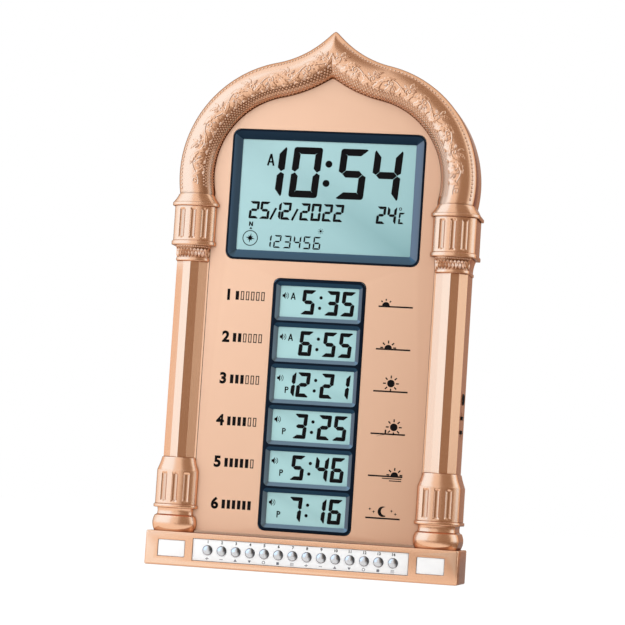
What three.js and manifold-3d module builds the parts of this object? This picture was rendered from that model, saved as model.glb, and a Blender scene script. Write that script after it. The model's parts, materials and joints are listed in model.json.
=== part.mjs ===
// Arch-shaped azan clock: a moulded front with two columns and an ogee arch, a face panel with seven
// liquid crystal windows, a row of push buttons in the plinth, and the works behind them.
// Millimetres, X to the right, Y from the front to the back, Z up.
import * as THREE from "three";
import { mergeVertices } from "three/addons/utils/BufferGeometryUtils.js";
import Module from "manifold-3d";

const wasm = await Module();
wasm.setup();

// Fits shared by many pieces
const clearance = 0.3; // between pieces that touch
const overrun = 1; // how far a cut runs past the face it opens
const wall = 2.2; // moulded wall of the case
const weld = 1e-4; // distance at which vertices are joined
const roundSteps = 10; // sides of a turned piece
const smallSteps = 8; // sides of a thin pin or pilot hole
const boreSteps = 16; // sides of the socket's bore
const cornerSteps = 4; // chords in a rounded corner
const sharpSteps = 2; // chords in a nearly sharp corner

// Case
const plinthWidth = 190.8;
const plinthHeight = 20.6;
const edgeChamfer = 0.9;
const faceDepth = 9; // from the plinth's front to the face panel's front
const coverDepth = 8; // of the case's depth, behind the seam
const boardRoom = 2.5; // from the main board to the battery bay
const magnetRoom = 1.8; // from the main board to the speaker
const panelThickness = 2;
const ledgeReach = 2.5;
const ledgeThickness = 2;

// Column, from the plinth up
const columnEnd = 15.1; // from the column's middle line to the plinth's end
const torusHeight = 10;
const torusWidth = 27.4;
const torusRise = 8.2;
const coveHeight = 4.2;
const coveWidth = 22.4;
const coveRise = 5.6;
const baseRingHeight = 2.2;
const baseRingWidth = 27.6;
const baseRingRise = 7.9;
const baseBlockHeight = 20.8;
const baseBlockWidth = 25.4;
const blockRise = 6.8;
const shoulderHeight = 7.7;
const shaftHeight = 120.4;
const shaftWidth = 19.6;
const shaftRise = 5.2;
const shaftArrisRise = 3.6;
const neckRingHeight = 2.2;
const neckRingWidth = 20.8;
const neckRingRise = 6;
const neckHeight = 7.5;
const neckWidth = 22.4;
const neckRise = 6.8;
const capitalRingHeight = 2.7;
const capitalRingWidth = 27.9;
const capitalRingRise = 8;
const capitalBlockHeight = 21.5;
const capitalBlockWidth = 25.7;
const flareRingHeight = 2.3;
const flareRingWidth = 29.4;
const flareRingRise = 8.4;
const flareHeight = 6.9;
const ringRound = 0.6;
const fluteWidth = 4.6;
const fluteDepth = 0.8;
const fluteInset = 1.5;
const fluteOffset = 5.8; // from the column's middle to the flute's middle

// Arch
const archWidth = 21.4;
const archRise = 7.6;
const archSpread = 20.3; // from the clock's middle to the centre of one round part
const archDrop = 11.54; // of the round part below its centre, down to the columns
const archTurn = THREE.MathUtils.degToRad(78); // where the round part turns into the ogee
const archTipRise = 15.26; // of the tip above the top of the round part, on the middle line
const tipRound = 1.4;
const archSteps = 13;
const ogeeSteps = 7;
const ogeeEase = 1.5; // crowds the steps towards the tip
const sectionSteps = 12; // chords across a column
const mouldingSteps = 10; // chords across the arch
const hollowSteps = 6; // chords across the arch's hollow back

// Main window
const mainBezelMargin = 10.7; // of panel on both sides
const mainBezelCornerMargin = 2.03; // beside its top corners, to the arch
const mainBezelGap = 10.8; // above the bezel of the times
const mainFrame = 5.9; // from the bezel's outer edge to its window
const mainBezelCorner = 5;
const bezelProud = 0.4;
const bezelRim = 0.8; // flat rim round the sloped opening
const bezelSlope = 1.8; // depth from the rim to the glass
const bezelLip = 0.2;
const bezelEdge = 0.3; // rounding of the rim
const flangeReach = 1.8;
const flangeThickness = 1.5;
const glassMargin = 2.6; // hidden border of the glass
const glassThickness = 2.8;
const backlightThickness = 3;
const backlightReach = 1.2;

// Windows of the six times
const timesBezelLift = 4.3; // above the plinth
const timesFrameSide = 4.25;
const timesFrameEnd = 4.15;
const timesBezelCorner = 4;
const timeWindowWidth = 48.5;
const timeWindowHeight = 19;
const timeWindowGap = 6.18; // between two windows
const timeWindowCount = 6;
const timeGlassMargin = 1.7;
const windowCorner = 0.6;
const timeRimInset = 1.4;

// Main board
const boardThickness = 1.6;
const boardMargin = 8.5; // from the column's inner wall to the board
const boardLift = 3.4; // above the plinth
const boardReach = 39; // above the main window's middle
const boardPostRise = 11; // above the board's lower edge
const boardPostDrop = 7.9; // below the main bezel
const boardPostRadius = 2.6;
const boardScrewRadius = 1.2;
const boardScrewHeadRadius = 2.4;
const boardScrewHeadHeight = 1.4;
const boardScrewLength = 5;
const chipHeight = 1.8;
const processorSide = 14;
const memoryWidth = 8;
const capacitorRadius = 3.2;
const capacitorHeight = 7;
const crystalLength = 9;
const crystalWidth = 4;
const socketLength = 12;
const socketWidth = 5;
const socketHeight = 6;
const weldDepth = 0.2; // how far a fused piece sinks into the one that carries it

// Buttons in the plinth
const buttonPitch = 8.715;
const buttonRadius = 2.9;
const buttonProud = 0.6; // dome above the plinth's front
const buttonDome = 1.2;
const buttonFlange = 3.9;
const buttonFlangeThickness = 0.8;
const buttonStemRadius = 1.5;
const buttonStemLength = 1.2;
const buttonTravel = 0.5;
const stripEnd = 9; // at least, past the outermost buttons
const stripBelow = 3.95; // of plinth under the strip
const stripAbove = 3.25;
const stripRecess = 0.6;
const stripFlangeReach = 0.7;
const stripFlangeThickness = 0.8;
const tactSide = 6;
const tactHeight = 3.4;
const tactPlunger = 0.8;
const tactPlungerRadius = 1.6;
const buttonBoardEnd = 1; // past the strip
const plaqueWidth = 16.8;
const plaqueGap = 4.75; // to the strip
const plaqueEnd = 16.25; // from its middle to the plinth's end
const plaqueBelow = 5.4; // of plinth under it
const plaqueAbove = 5;
const plaqueRecess = 0.4;
const plaqueThickness = 0.8;

// Rear cover
const coverInset = 2;
const coverSlope = 3.4;
const coverSeamDepth = 0.3;
const coverScrewLow = 45;
const coverScrewMiddle = 150;
const coverScrewArch = THREE.MathUtils.degToRad(45);
const coverScrewRadius = 1.5;
const coverScrewHead = 2.9;
const coverScrewHeadHeight = 1.7;
const coverScrewLength = 14;
const coverScrewRecess = 1;
const bossRadius = 3.7;
const bossSink = 1.5; // of the front bosses' ends, before the seam
const pilotDepth = 14;
const keyholeInset = 28.3; // from the column's middle line
const keyholeRise = 23; // above the columns
const keyholeHead = 4.2;
const keyholeSlot = 2.2;
const keyholeLength = 9;

// Speaker
const speakerZ = 168;
const speakerRadius = 25;
const speakerLip = 4.5;
const speakerLipThickness = 1.5;
const speakerBasketRadius = 14;
const speakerBasketDepth = 9;
const speakerSheet = 0.8;
const magnetRadius = 15;
const magnetHeight = 6;
const coneSheet = 0.7;
const coneThroat = 6;
const speakerRing = 1.6;
const speakerRingDepth = 4;
const grilleCount = 9;
const grillePitch = 4.6;
const grilleSlot = 2;

// Battery bay
const bayZ = 90;
const cellRadius = 7;
const cellLength = 49.3;
const cellNub = 1;
const cellNubRadius = 2.6;
const cellGap = 0.8;
const cellCount = 3;
const bayWall = 2.4;
const springLength = 4.2;
const springRadius = 4.4;
const springTipRadius = 2.2;
const contactThickness = 0.5;
const contactWidth = 10;
const contactNub = 0.8;
const doorThickness = 1.6;
const doorMargin = 1.5;
const doorLatchWidth = 14;
const doorLatchLength = 9;
const doorLatchSlot = 1;

// Sockets and switches in the right side
const sideBoardWidth = 14;
const sideBoardBelow = 1.3; // past the lower switch
const sideBoardAbove = 1.8; // past the socket
const sidePostRadius = 2;
const jackZ = 111;
const jackWidth = 9;
const jackHeight = 11;
const jackLength = 13.6;
const jackBore = 3;
const jackBoreDepth = 9.5;
const jackPin = 1;
const jackPinLength = 7.5;
const jackHole = 3.5;
const switchUpperZ = 100.6;
const switchLowerZ = 90.1;
const switchLength = 8.6;
const switchHeight = 4.6;
const switchDepth = 4.4;
const knobWidth = 2;
const knobLength = 2.2;
const knobProud = 1.2;
const knobTravel = 2;
const knobSeat = 2;

// Finishes
const finish = {
  roseShell: { color: 0xd99a72, roughness: 0.34, metalness: 0.7 },
  peachPanel: { color: 0xf0bf9f, roughness: 0.55, metalness: 0.1 },
  slateBezel: { color: 0x2c4152, roughness: 0.35, metalness: 0.1 },
  paleGlass: { color: 0xa8d0d2, roughness: 0.12, metalness: 0 },
  diffuser: { color: 0xf4f7f5, roughness: 0.5, metalness: 0 },
  whiteSheet: { color: 0xf7f5f2, roughness: 0.5, metalness: 0 },
  chromeCap: { color: 0xd8d9db, roughness: 0.15, metalness: 1 },
  circuitBoard: { color: 0x1e6b3c, roughness: 0.45, metalness: 0 },
  roseCover: { color: 0xcf9572, roughness: 0.55, metalness: 0.3 },
  blackPlastic: { color: 0x161616, roughness: 0.45, metalness: 0 },
  steel: { color: 0xb9bcc0, roughness: 0.3, metalness: 1 },
  paperCone: { color: 0x2a2a2a, roughness: 0.9, metalness: 0 },
  cellWrap: { color: 0x3c5f8a, roughness: 0.4, metalness: 0.2 },
};

// Derived places
const columnCentreX = plinthWidth / 2 - columnEnd;
const archReach = columnCentreX - archSpread;
const archRadius = Math.hypot(archReach, archDrop);
const columnStack = [
  torusHeight, coveHeight, baseRingHeight, baseBlockHeight, shoulderHeight, shaftHeight,
  neckRingHeight, neckHeight, capitalRingHeight, capitalBlockHeight, flareRingHeight, flareHeight,
];
const columnLevels = columnStack.reduce((levels, h) => [...levels, levels.at(-1) + h], [plinthHeight]);
const columnTop = columnLevels.at(-1);
const archStart = -Math.atan(archDrop / archReach);
const archCentreZ = columnTop + archDrop;
const archApexZ = archCentreZ + archRadius + archTipRise;
const innerWallX = columnCentreX - shaftWidth / 2;
const outerWallX = columnCentreX + shaftWidth / 2;
const mainBezelWidth = 2 * (innerWallX - mainBezelMargin);
const timesBezelWidth = timeWindowWidth + 2 * timesFrameSide;
const timeWindowPitch = timeWindowHeight + timeWindowGap;
const timesSpan = (timeWindowCount - 1) * timeWindowPitch;
const timesBezelHeight = timesSpan + timeWindowHeight + 2 * timesFrameEnd;
const timesBezelZ = plinthHeight + timesBezelLift + timesBezelHeight / 2;
const mainCornerReach = mainBezelWidth / 2 + mainBezelCornerMargin - archSpread;
const mainBezelTop = archCentreZ + Math.sqrt((archRadius - archWidth / 2) ** 2 - mainCornerReach ** 2);
const mainBezelBottom = timesBezelZ + timesBezelHeight / 2 + mainBezelGap;
const mainBezelHeight = mainBezelTop - mainBezelBottom;
const mainBezelZ = (mainBezelTop + mainBezelBottom) / 2;
const mainWindowWidth = mainBezelWidth - 2 * mainFrame;
const mainWindowHeight = mainBezelHeight - 2 * mainFrame;
const panelBack = faceDepth + panelThickness;
const ledgeFront = panelBack + clearance;
const ledgeBack = ledgeFront + ledgeThickness;
const panelBottom = plinthHeight + 2 * clearance;
const bezelFront = faceDepth - bezelProud;
const lipBack = bezelFront + bezelSlope + bezelLip;
const glassFront = lipBack + clearance;
const glassBack = glassFront + glassThickness;
const backlightFront = glassBack + clearance;
const backlightBack = backlightFront + backlightThickness;
const boardFront = backlightBack + clearance;
const boardBack = boardFront + boardThickness;
const bayRoom = boardRoom + bayWall + 2 * (cellRadius + clearance) + doorThickness;
const speakerDepth = magnetHeight + speakerBasketDepth + speakerLipThickness + 2 * clearance;
const caseDepth = boardBack + Math.max(bayRoom, magnetRoom + speakerDepth + wall);
const sideDepth = caseDepth - coverDepth;
const bossGapDepth = sideDepth - bossSink;
const mainBoardWidth = 2 * (innerWallX - boardMargin);
const mainBoardBottom = plinthHeight + boardLift;
const mainBoardTop = mainBezelZ + boardReach;
const boardPostX = (timesBezelWidth + mainBoardWidth) / 4;
const boardPostLow = mainBoardBottom + boardPostRise;
const boardPostHigh = mainBezelBottom - boardPostDrop;
const coverFront = sideDepth + coverSeamDepth;
const coverFloor = caseDepth - wall;
const stripBack = wall + clearance;
const stripRear = stripBack + stripFlangeThickness;
const buttonFlangeFront = stripRear + clearance;
const buttonFlangeBack = buttonFlangeFront + buttonFlangeThickness;
const buttonStemEnd = buttonFlangeBack + buttonStemLength;
const plungerFront = buttonStemEnd + buttonTravel + clearance;
const tactFront = plungerFront + tactPlunger;
const buttonBoardFront = tactFront + tactHeight;
const doorFront = caseDepth - doorThickness;
const cellPitch = 2 * cellRadius + cellGap;
const cellY = doorFront - clearance - cellRadius;
const bayHalfWidth = (cellCount * cellPitch) / 2;
const bayFloor = cellY - cellRadius - clearance;
const plateDepth = contactThickness + clearance;
const bayHalfLength = (cellLength + cellNub + springLength + contactNub) / 2 + plateDepth + clearance;
const sideInner = outerWallX - wall;
const boardX = sideInner - clearance - sideBoardWidth;
const sideBoardFront = ledgeBack + clearance;
const sideBoardBack = sideBoardFront + boardThickness;
const sideBoardBottom = switchLowerZ - switchLength / 2 - sideBoardBelow;
const sideBoardTop = jackZ + jackWidth / 2 + sideBoardAbove;
const jackFront = sideBoardBack + clearance;
const jackY = jackFront + jackHeight / 2;
const knobY = jackFront + switchHeight / 2;
const knobSlotHalf = (knobLength + knobTravel) / 2 + clearance;
const sidePostX = boardX + 2 * sidePostRadius;
const sidePostZs = [sideBoardBottom + 2 * sidePostRadius, sideBoardTop - 2 * sidePostRadius];
const plaqueX = plinthWidth / 2 - plaqueEnd;
const stripWidth = 2 * (plaqueX - plaqueWidth / 2 - plaqueGap);
const buttonCount = Math.floor((stripWidth - 2 * stripEnd) / buttonPitch) + 1;
const buttonSpan = (buttonCount - 1) * buttonPitch;
const stripHigh = plinthHeight - stripAbove;
const buttonZ = (stripBelow + stripHigh) / 2;
const buttonBoardWidth = stripWidth + 2 * buttonBoardEnd;
const plaqueHeight = plinthHeight - plaqueBelow - plaqueAbove;
const plaqueZ = plaqueBelow + plaqueHeight / 2;
const keyholeX = columnCentreX - keyholeInset;
const keyholeZ = columnTop + keyholeRise;
const tongueHalfWidth = outerWallX - coverInset - wall;
const plinthCeiling = plinthHeight - wall;
const channelFront = faceDepth - shaftArrisRise + wall;
const columnBossFront = channelFront - wall / 2;
const coverHead = caseDepth - coverScrewRecess - coverScrewHeadHeight;
const contactFace = bayHalfLength - plateDepth;
const doorHalfWidth = bayHalfWidth + doorMargin;
const doorHalfLength = bayHalfLength + doorMargin;
const speakerBack = coverFloor - clearance;
const lipFront = speakerBack - speakerLipThickness;
const basketFront = lipFront - speakerBasketDepth;
const throatDepth = basketFront + speakerSheet + clearance;
const timeWindows = [...Array(timeWindowCount).keys()];
const buttons = [...Array(buttonCount).keys()];
const cells = [...Array(cellCount).keys()];
const timeWindowZ = (i) => timesBezelZ + timesSpan / 2 - i * timeWindowPitch;
const buttonX = (i) => i * buttonPitch - buttonSpan / 2;
const cellX = (i) => (i - (cellCount - 1) / 2) * cellPitch;
const cellWay = (i) => (i % 2 === 0 ? 1 : -1); // 1 where the positive end points up
const both = (make) => [-1, 1].map(make);

// Places of the four screws that hold the main board
const boardScrews = both((side) => [boardPostLow, boardPostHigh].map((z) => [side * boardPostX, z])).flat();

// Places of the rear cover's screws, each with the depth where its front boss begins
const coverScrews = both((side) => {
  const archX = archSpread + archRadius * Math.cos(coverScrewArch);
  const archZ = archCentreZ + archRadius * Math.sin(coverScrewArch);
  return [
    [side * columnCentreX, coverScrewLow, columnBossFront],
    [side * columnCentreX, coverScrewMiddle, columnBossFront],
    [side * archX, archZ, faceDepth - archRise + (3 * wall) / 4],
  ];
}).flat();

// Turns a closed three.js geometry into a solid, with its faces pointing out.
function solidOf(geometry) {
  const bare = geometry.index ? geometry.toNonIndexed() : geometry.clone();
  bare.deleteAttribute("normal");
  bare.deleteAttribute("uv");
  const merged = mergeVertices(bare, weld);
  const corners = merged.attributes.position.array;
  const faces = [];
  for (let i = 0; i < merged.index.count; i += 3) {
    const [a, b, c] = merged.index.array.slice(i, i + 3);
    if (a !== b && b !== c && c !== a) faces.push([a, b, c]);
  }
  const inwards = faces.reduce((sum, face) => sum + signedVolume(corners, face), 0) < 0;
  const triVerts = new Uint32Array(faces.flatMap(([a, b, c]) => (inwards ? [a, c, b] : [a, b, c])));
  return new wasm.Manifold(new wasm.Mesh({ numProp: 3, vertProperties: corners, triVerts }));
}

function signedVolume(corners, face) {
  const [a, b, c] = face.map((i) => new THREE.Vector3().fromArray(corners, 3 * i));
  return a.dot(b.cross(c));
}

function geometryOf(solid) {
  const mesh = solid.getMesh();
  const geometry = new THREE.BufferGeometry();
  geometry.setAttribute("position", new THREE.BufferAttribute(mesh.vertProperties, mesh.numProp));
  geometry.setIndex(new THREE.BufferAttribute(mesh.triVerts, 1));
  geometry.computeVertexNormals();
  return geometry;
}

const join = (solids) => solids.reduce((all, next) => all.add(next));
const cut = (solid, tools) => tools.reduce((left, tool) => left.subtract(tool), solid);

// A box between two corners.
function box(x0, x1, y0, y1, z0, z1) {
  const shape = new THREE.BoxGeometry(x1 - x0, y1 - y0, z1 - z0);
  return solidOf(shape.translate((x0 + x1) / 2, (y0 + y1) / 2, (z0 + z1) / 2));
}

// A disc or rod whose axis runs front to back.
function rod(radius, x, z, y0, y1, sides = roundSteps) {
  const shape = new THREE.CylinderGeometry(radius, radius, y1 - y0, sides);
  return solidOf(shape.translate(x, (y0 + y1) / 2, z));
}

// A rod whose axis runs left to right.
function crossRod(radius, x0, x1, y, z, sides = roundSteps) {
  const shape = new THREE.CylinderGeometry(radius, radius, x1 - x0, sides).rotateZ(Math.PI / 2);
  return solidOf(shape.translate((x0 + x1) / 2, y, z));
}

// A turned piece whose axis runs front to back. Each profile point is a radius and a depth.
function turned(profile, x, z, sides = roundSteps) {
  const points = profile.map(([radius, depth]) => new THREE.Vector2(radius, depth));
  return solidOf(new THREE.LatheGeometry(points, sides).translate(x, 0, z));
}

// Closes a row of rings, each with as many points, into a skin with a flat lid at both ends.
function loft(rings, flat) {
  const count = rings[0].length;
  const position = rings.flat().flatMap((p) => [p.x, p.y, p.z]);
  const index = [];
  for (let r = 0; r + 1 < rings.length; r++) {
    for (let i = 0; i < count; i++) {
      const a = r * count + i;
      const b = r * count + ((i + 1) % count);
      index.push(a, b, b + count, a, b + count, a + count);
    }
  }
  for (const ring of [0, rings.length - 1]) {
    const start = ring * count;
    const outline = rings[ring].map(flat);
    const wanted = THREE.ShapeUtils.area(outline) > 0 !== (ring === 0);
    for (const [a, b, c] of THREE.ShapeUtils.triangulateShape(outline, [])) {
      const same = THREE.ShapeUtils.area([outline[a], outline[b], outline[c]]) > 0 === wanted;
      index.push(start + a, start + (same ? b : c), start + (same ? c : b));
    }
  }
  const geometry = new THREE.BufferGeometry();
  geometry.setAttribute("position", new THREE.Float32BufferAttribute(position, 3));
  geometry.setIndex(index);
  return solidOf(geometry);
}

const fromAbove = (p) => new THREE.Vector2(p.x, p.y);
const fromFront = (p) => new THREE.Vector2(p.x, p.z);

// A rounded rectangle at one depth, as a ring of points.
function roundedRing(width, height, corner, x, z, y, steps = cornerSteps) {
  const points = [];
  const reachX = width / 2 - corner;
  const reachZ = height / 2 - corner;
  for (let quarter = 0; quarter < 4; quarter++) {
    const middleX = x + (quarter === 0 || quarter === 3 ? reachX : -reachX);
    const middleZ = z + (quarter < 2 ? reachZ : -reachZ);
    for (let step = 0; step <= steps; step++) {
      const angle = ((quarter + step / steps) * Math.PI) / 2;
      const px = middleX + corner * Math.cos(angle);
      points.push(new THREE.Vector3(px, y, middleZ + corner * Math.sin(angle)));
    }
  }
  return points;
}

function roundedBlock(width, height, corner, x, z, y0, y1, steps = cornerSteps) {
  const ring = (y) => roundedRing(width, height, corner, x, z, y, steps);
  return loft([ring(y0), ring(y1)], fromFront);
}

// One line of the arch, at a set distance outside its middle line, from the left foot to the right.
function archLine(offset) {
  const turn = new THREE.Vector2(Math.cos(archTurn), Math.sin(archTurn));
  const joint = turn.clone().multiplyScalar(archRadius).add(new THREE.Vector2(archSpread, archCentreZ));
  const apex = new THREE.Vector2(0, archApexZ);
  const reach = joint.clone().sub(apex);
  const ogeeRadius = -reach.lengthSq() / (2 * reach.dot(turn));
  const ogee = turn.clone().multiplyScalar(ogeeRadius).add(joint);
  const radius = archRadius + offset;
  const hollow = ogeeRadius - offset;
  const half = [];
  for (let i = 0; i <= archSteps; i++) {
    const angle = archStart + ((archTurn - archStart) * i) / archSteps;
    half.push([archSpread + radius * Math.cos(angle), archCentreZ + radius * Math.sin(angle)]);
  }
  const from = ogee.x - hollow * turn.x;
  for (let i = 1; i <= ogeeSteps; i++) {
    const x = from * (1 - i / ogeeSteps) ** ogeeEase;
    const rounded = Math.hypot(x, tipRound * (1 - x / from));
    half.push([x, ogee.y - Math.sqrt(hollow ** 2 - (ogee.x - rounded) ** 2)]);
  }
  const left = half.map(([x, z]) => [-x, z]);
  return [...left, ...half.slice(0, -1).reverse()];
}

// Points of a half ellipse that bulges to the front, from the outer side to the inner.
function bulge(halfWidth, rise, base, steps) {
  const points = [];
  for (let i = 0; i <= steps; i++) {
    const angle = (Math.PI * i) / steps;
    points.push([halfWidth * Math.cos(angle), base - rise * Math.sin(angle)]);
  }
  return points;
}

// Section of the arch moulding: a channel that is open at the back, with the ledge that holds the panel.
function archSection() {
  const half = archWidth / 2;
  const inner = half - wall;
  return [
    [half, sideDepth],
    ...bulge(half, archRise, faceDepth, mouldingSteps),
    [-half, ledgeFront],
    [-half - ledgeReach, ledgeFront],
    [-half - ledgeReach, ledgeBack],
    [-inner, ledgeBack],
    ...bulge(inner, archRise - wall, faceDepth, hollowSteps).reverse(),
    [inner, sideDepth],
  ];
}

function archMoulding() {
  const section = archSection();
  const lines = section.map(([offset]) => archLine(offset));
  const stations = lines[0].map((_, s) =>
    section.map(([, depth], i) => new THREE.Vector3(lines[i][s][0], depth, lines[i][s][1])),
  );
  const footZ = Math.min(...stations[0].map((p) => p.z)) - overrun;
  const foot = (ring) => ring.map((p) => new THREE.Vector3(p.x, p.y, footZ));
  return loft([foot(stations[0]), ...stations, foot(stations.at(-1))], fromAbove);
}

// The four flat faces of the shaft, as as many points as a round section has.
function facets(halfWidth) {
  const middle = halfWidth / 2;
  const bends = [
    [halfWidth, 0],
    [middle, shaftArrisRise],
    [0, shaftRise],
    [-middle, shaftArrisRise],
    [-halfWidth, 0],
  ];
  const faces = bends.length - 1;
  const points = [];
  for (let i = 0; i <= sectionSteps; i++) {
    const along = (i / sectionSteps) * faces;
    const face = Math.min(Math.floor(along), faces - 1);
    const share = along - face;
    const [x0, rise0] = bends[face];
    const [x1, rise1] = bends[face + 1];
    points.push([x0 + (x1 - x0) * share, faceDepth - rise0 - (rise1 - rise0) * share]);
  }
  return points;
}

// Levels of the column from the bottom: height, width, rise and whether the section is faceted.
function columnProfile() {
  const [plinth, torus, cove, ring, block, shoulder, shaft, ...upper] = columnLevels;
  const [neckRing, neck, capRing, capital, flareRing] = upper;
  const rows = [];
  const add = (z, width, rise, faceted = false) => rows.push({ z, width, rise, faceted });
  const band = (low, high, width, rise) => {
    add(low, width - 2 * ringRound, rise - ringRound);
    add(low + ringRound, width, rise);
    add(high - ringRound, width, rise);
    add(high, width - 2 * ringRound, rise - ringRound);
  };
  add(plinth - wall / 2, coveWidth, coveRise);
  const bulbShares = [[0, 0.45], [0.12, 0.72], [0.32, 0.94], [0.52, 1], [0.75, 0.9], [0.9, 0.64], [1, 0.3]];
  for (const [up, out] of bulbShares) {
    const width = coveWidth + (torusWidth - coveWidth) * out;
    add(plinth + torusHeight * up, width, coveRise + (torusRise - coveRise) * out);
  }
  add(torus, coveWidth, coveRise);
  add(cove - ringRound, coveWidth, coveRise);
  band(cove, ring, baseRingWidth, baseRingRise);
  add(ring, baseBlockWidth, blockRise);
  add(block, baseBlockWidth, blockRise);
  add(shoulder, shaftWidth + 2 * ringRound, shaftRise + ringRound);
  add(shoulder, shaftWidth, shaftRise, true);
  add(shaft, shaftWidth, shaftRise, true);
  band(shaft, neckRing, neckRingWidth, neckRingRise);
  const neckShares = [[0, 0], [0.3, 0.08], [0.6, 0.34], [0.85, 0.75], [1, 1]];
  for (const [up, out] of neckShares) {
    const width = shaftWidth + (neckWidth - shaftWidth) * out;
    add(neckRing + neckHeight * up, width, shaftRise + (neckRise - shaftRise) * out);
  }
  band(neck, capRing, capitalRingWidth, capitalRingRise);
  add(capRing, capitalBlockWidth, blockRise);
  add(capital, capitalBlockWidth, blockRise);
  band(capital, flareRing, flareRingWidth, flareRingRise);
  add(columnTop, archWidth, archRise);
  return rows;
}

// One column, solid apart from the channel behind it. Side is 1 on the right and -1 on the left.
function column(side) {
  const rings = columnProfile().map(({ z, width, rise, faceted }) => {
    const section = faceted ? facets(width / 2) : bulge(width / 2, rise, faceDepth, sectionSteps);
    const seat = faceDepth - clearance;
    const front = section.map(([x, y]) => [columnCentreX + x, x < 0 ? Math.min(y, seat) : y]);
    const outline = [
      [columnCentreX + width / 2, sideDepth],
      ...front,
      [innerWallX, seat],
      [innerWallX, sideDepth],
    ];
    return outline.map(([x, y]) => new THREE.Vector3(side * x, y, z));
  });
  const blocks = [
    { low: columnLevels[3], high: columnLevels[4], width: baseBlockWidth },
    { low: columnLevels[9], high: columnLevels[10], width: capitalBlockWidth },
  ];
  const flutes = blocks.flatMap((block) => both((way) => flute(side, way, block)));
  return cut(loft(rings, fromAbove), [columnChannel(side), behindInnerWall(side), ...flutes]);
}

// The hollow behind the column's front skin.
function columnChannel(side) {
  const half = shaftWidth / 2 - wall;
  const outline = [
    [half, sideDepth + overrun],
    [half, faceDepth + wall / 2],
    [half / 2, channelFront],
    [-half / 2, channelFront],
    [-half, faceDepth + wall / 2],
    [-half, sideDepth + overrun],
  ];
  const ring = (z) => outline.map(([x, y]) => new THREE.Vector3(side * (columnCentreX + x), y, z));
  return loft([ring(plinthHeight - wall), ring(columnTop + overrun)], fromAbove);
}

function sidedBox(side, x0, x1, y0, y1, z0, z1) {
  const [low, high] = side > 0 ? [x0, x1] : [-x1, -x0];
  return box(low, high, y0, y1, z0, z1);
}

function behindInnerWall(side) {
  const [x0, x1] = [innerWallX - overrun, innerWallX + wall + overrun];
  return sidedBox(side, x0, x1, ledgeBack, sideDepth + overrun, plinthHeight - wall, columnTop + overrun);
}

// Cutter for one upright flute with sloped sides and ends. Way is 1 away from the clock's middle.
function flute(side, way, { low, high, width }) {
  const half = width / 2;
  const angle = Math.acos((way * fluteOffset) / half);
  const surface = new THREE.Vector2(half * Math.cos(angle), -blockRise * Math.sin(angle));
  const normal = new THREE.Vector2(Math.cos(angle) / half, -Math.sin(angle) / blockRise).normalize();
  const tangent = new THREE.Vector2(-normal.y, normal.x);
  const ring = (out) => {
    const reach = fluteWidth / 2 + out;
    const [bottom, top] = [low + fluteInset - out, high - fluteInset + out];
    const corners = [[-reach, bottom], [reach, bottom], [reach, top], [-reach, top]];
    return corners.map(([along, z]) => {
      const p = surface.clone().addScaledVector(normal, out).addScaledVector(tangent, along);
      return new THREE.Vector3(side * (columnCentreX + p.x), faceDepth + p.y, z);
    });
  };
  return loft([ring(-fluteDepth), ring(overrun)], fromFront);
}

function plinth() {
  const ring = (inset, y) =>
    roundedRing(plinthWidth - 2 * inset, plinthHeight - 2 * inset, edgeChamfer, 0, plinthHeight / 2, y);
  const outer = loft([ring(edgeChamfer, 0), ring(0, edgeChamfer), ring(0, caseDepth)], fromFront);
  const halfWidth = plinthWidth / 2 - wall;
  const [low, high] = [plinthCeiling - overrun, plinthHeight + overrun];
  const rear = caseDepth + overrun;
  const bay = box(-halfWidth, halfWidth, wall, rear, wall, plinthCeiling);
  const hatchX = innerWallX - ledgeReach - wall;
  const hatch = box(-hatchX, hatchX, ledgeBack, rear, low, high);
  const backX = tongueHalfWidth + clearance;
  const back = box(-backX, backX, coverFloor - clearance, rear, low, high);
  const window = box(-stripWidth / 2, stripWidth / 2, -overrun, wall + overrun, stripBelow, stripHigh);
  const pockets = both((side) => {
    const x = side * plaqueX;
    const depth = plaqueRecess + plaqueThickness + clearance;
    const [halfX, halfZ] = [plaqueWidth / 2, plaqueHeight / 2];
    return box(x - halfX, x + halfX, -overrun, depth, plaqueZ - halfZ, plaqueZ + halfZ);
  });
  return cut(outer, [bay, hatch, back, window, ...pockets]);
}

// The two upright ledges that the face panel is seated on, below the arch's own ledge.
function ledges() {
  const top = archCentreZ + (archRadius - archWidth / 2) * Math.sin(archStart) + overrun;
  const bottom = plinthHeight - wall / 2;
  const [x0, x1] = [innerWallX - ledgeReach, innerWallX + wall / 2];
  return both((side) => sidedBox(side, x0, x1, ledgeFront, ledgeBack, bottom, top));
}

function knobSlot(z, x0, x1) {
  const halfY = knobWidth / 2 + clearance;
  return box(x0, x1, knobY - halfY, knobY + halfY, z - knobSlotHalf, z + knobSlotHalf);
}

function frontShell() {
  const bosses = coverScrews.map(([x, z, front]) => rod(bossRadius, x, z, front, bossGapDepth));
  const postEnd = sideBoardFront - clearance;
  const posts = sidePostZs.map((z) => rod(sidePostRadius, sidePostX, z, columnBossFront, postEnd));
  const body = join([archMoulding(), column(-1), column(1), plinth(), ...ledges(), ...bosses, ...posts]);
  const pilots = coverScrews.map(([x, z]) =>
    rod(coverScrewRadius + clearance, x, z, bossGapDepth - pilotDepth, bossGapDepth + overrun),
  );
  const reach = 2 * (flangeReach + clearance);
  const flangeSeat = roundedBlock(
    mainBezelWidth + reach, mainBezelHeight + reach, mainBezelCorner + flangeReach,
    0, mainBezelZ, panelBack, ledgeBack + overrun,
  );
  const [wallIn, wallOut] = [sideInner - overrun, outerWallX + overrun];
  const jackHoleCut = crossRod(jackHole, wallIn, wallOut, jackY, jackZ);
  const slots = [switchUpperZ, switchLowerZ].map((z) => knobSlot(z, wallIn, wallOut));
  return cut(body, [...pilots, flangeSeat, jackHoleCut, ...slots]);
}

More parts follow.
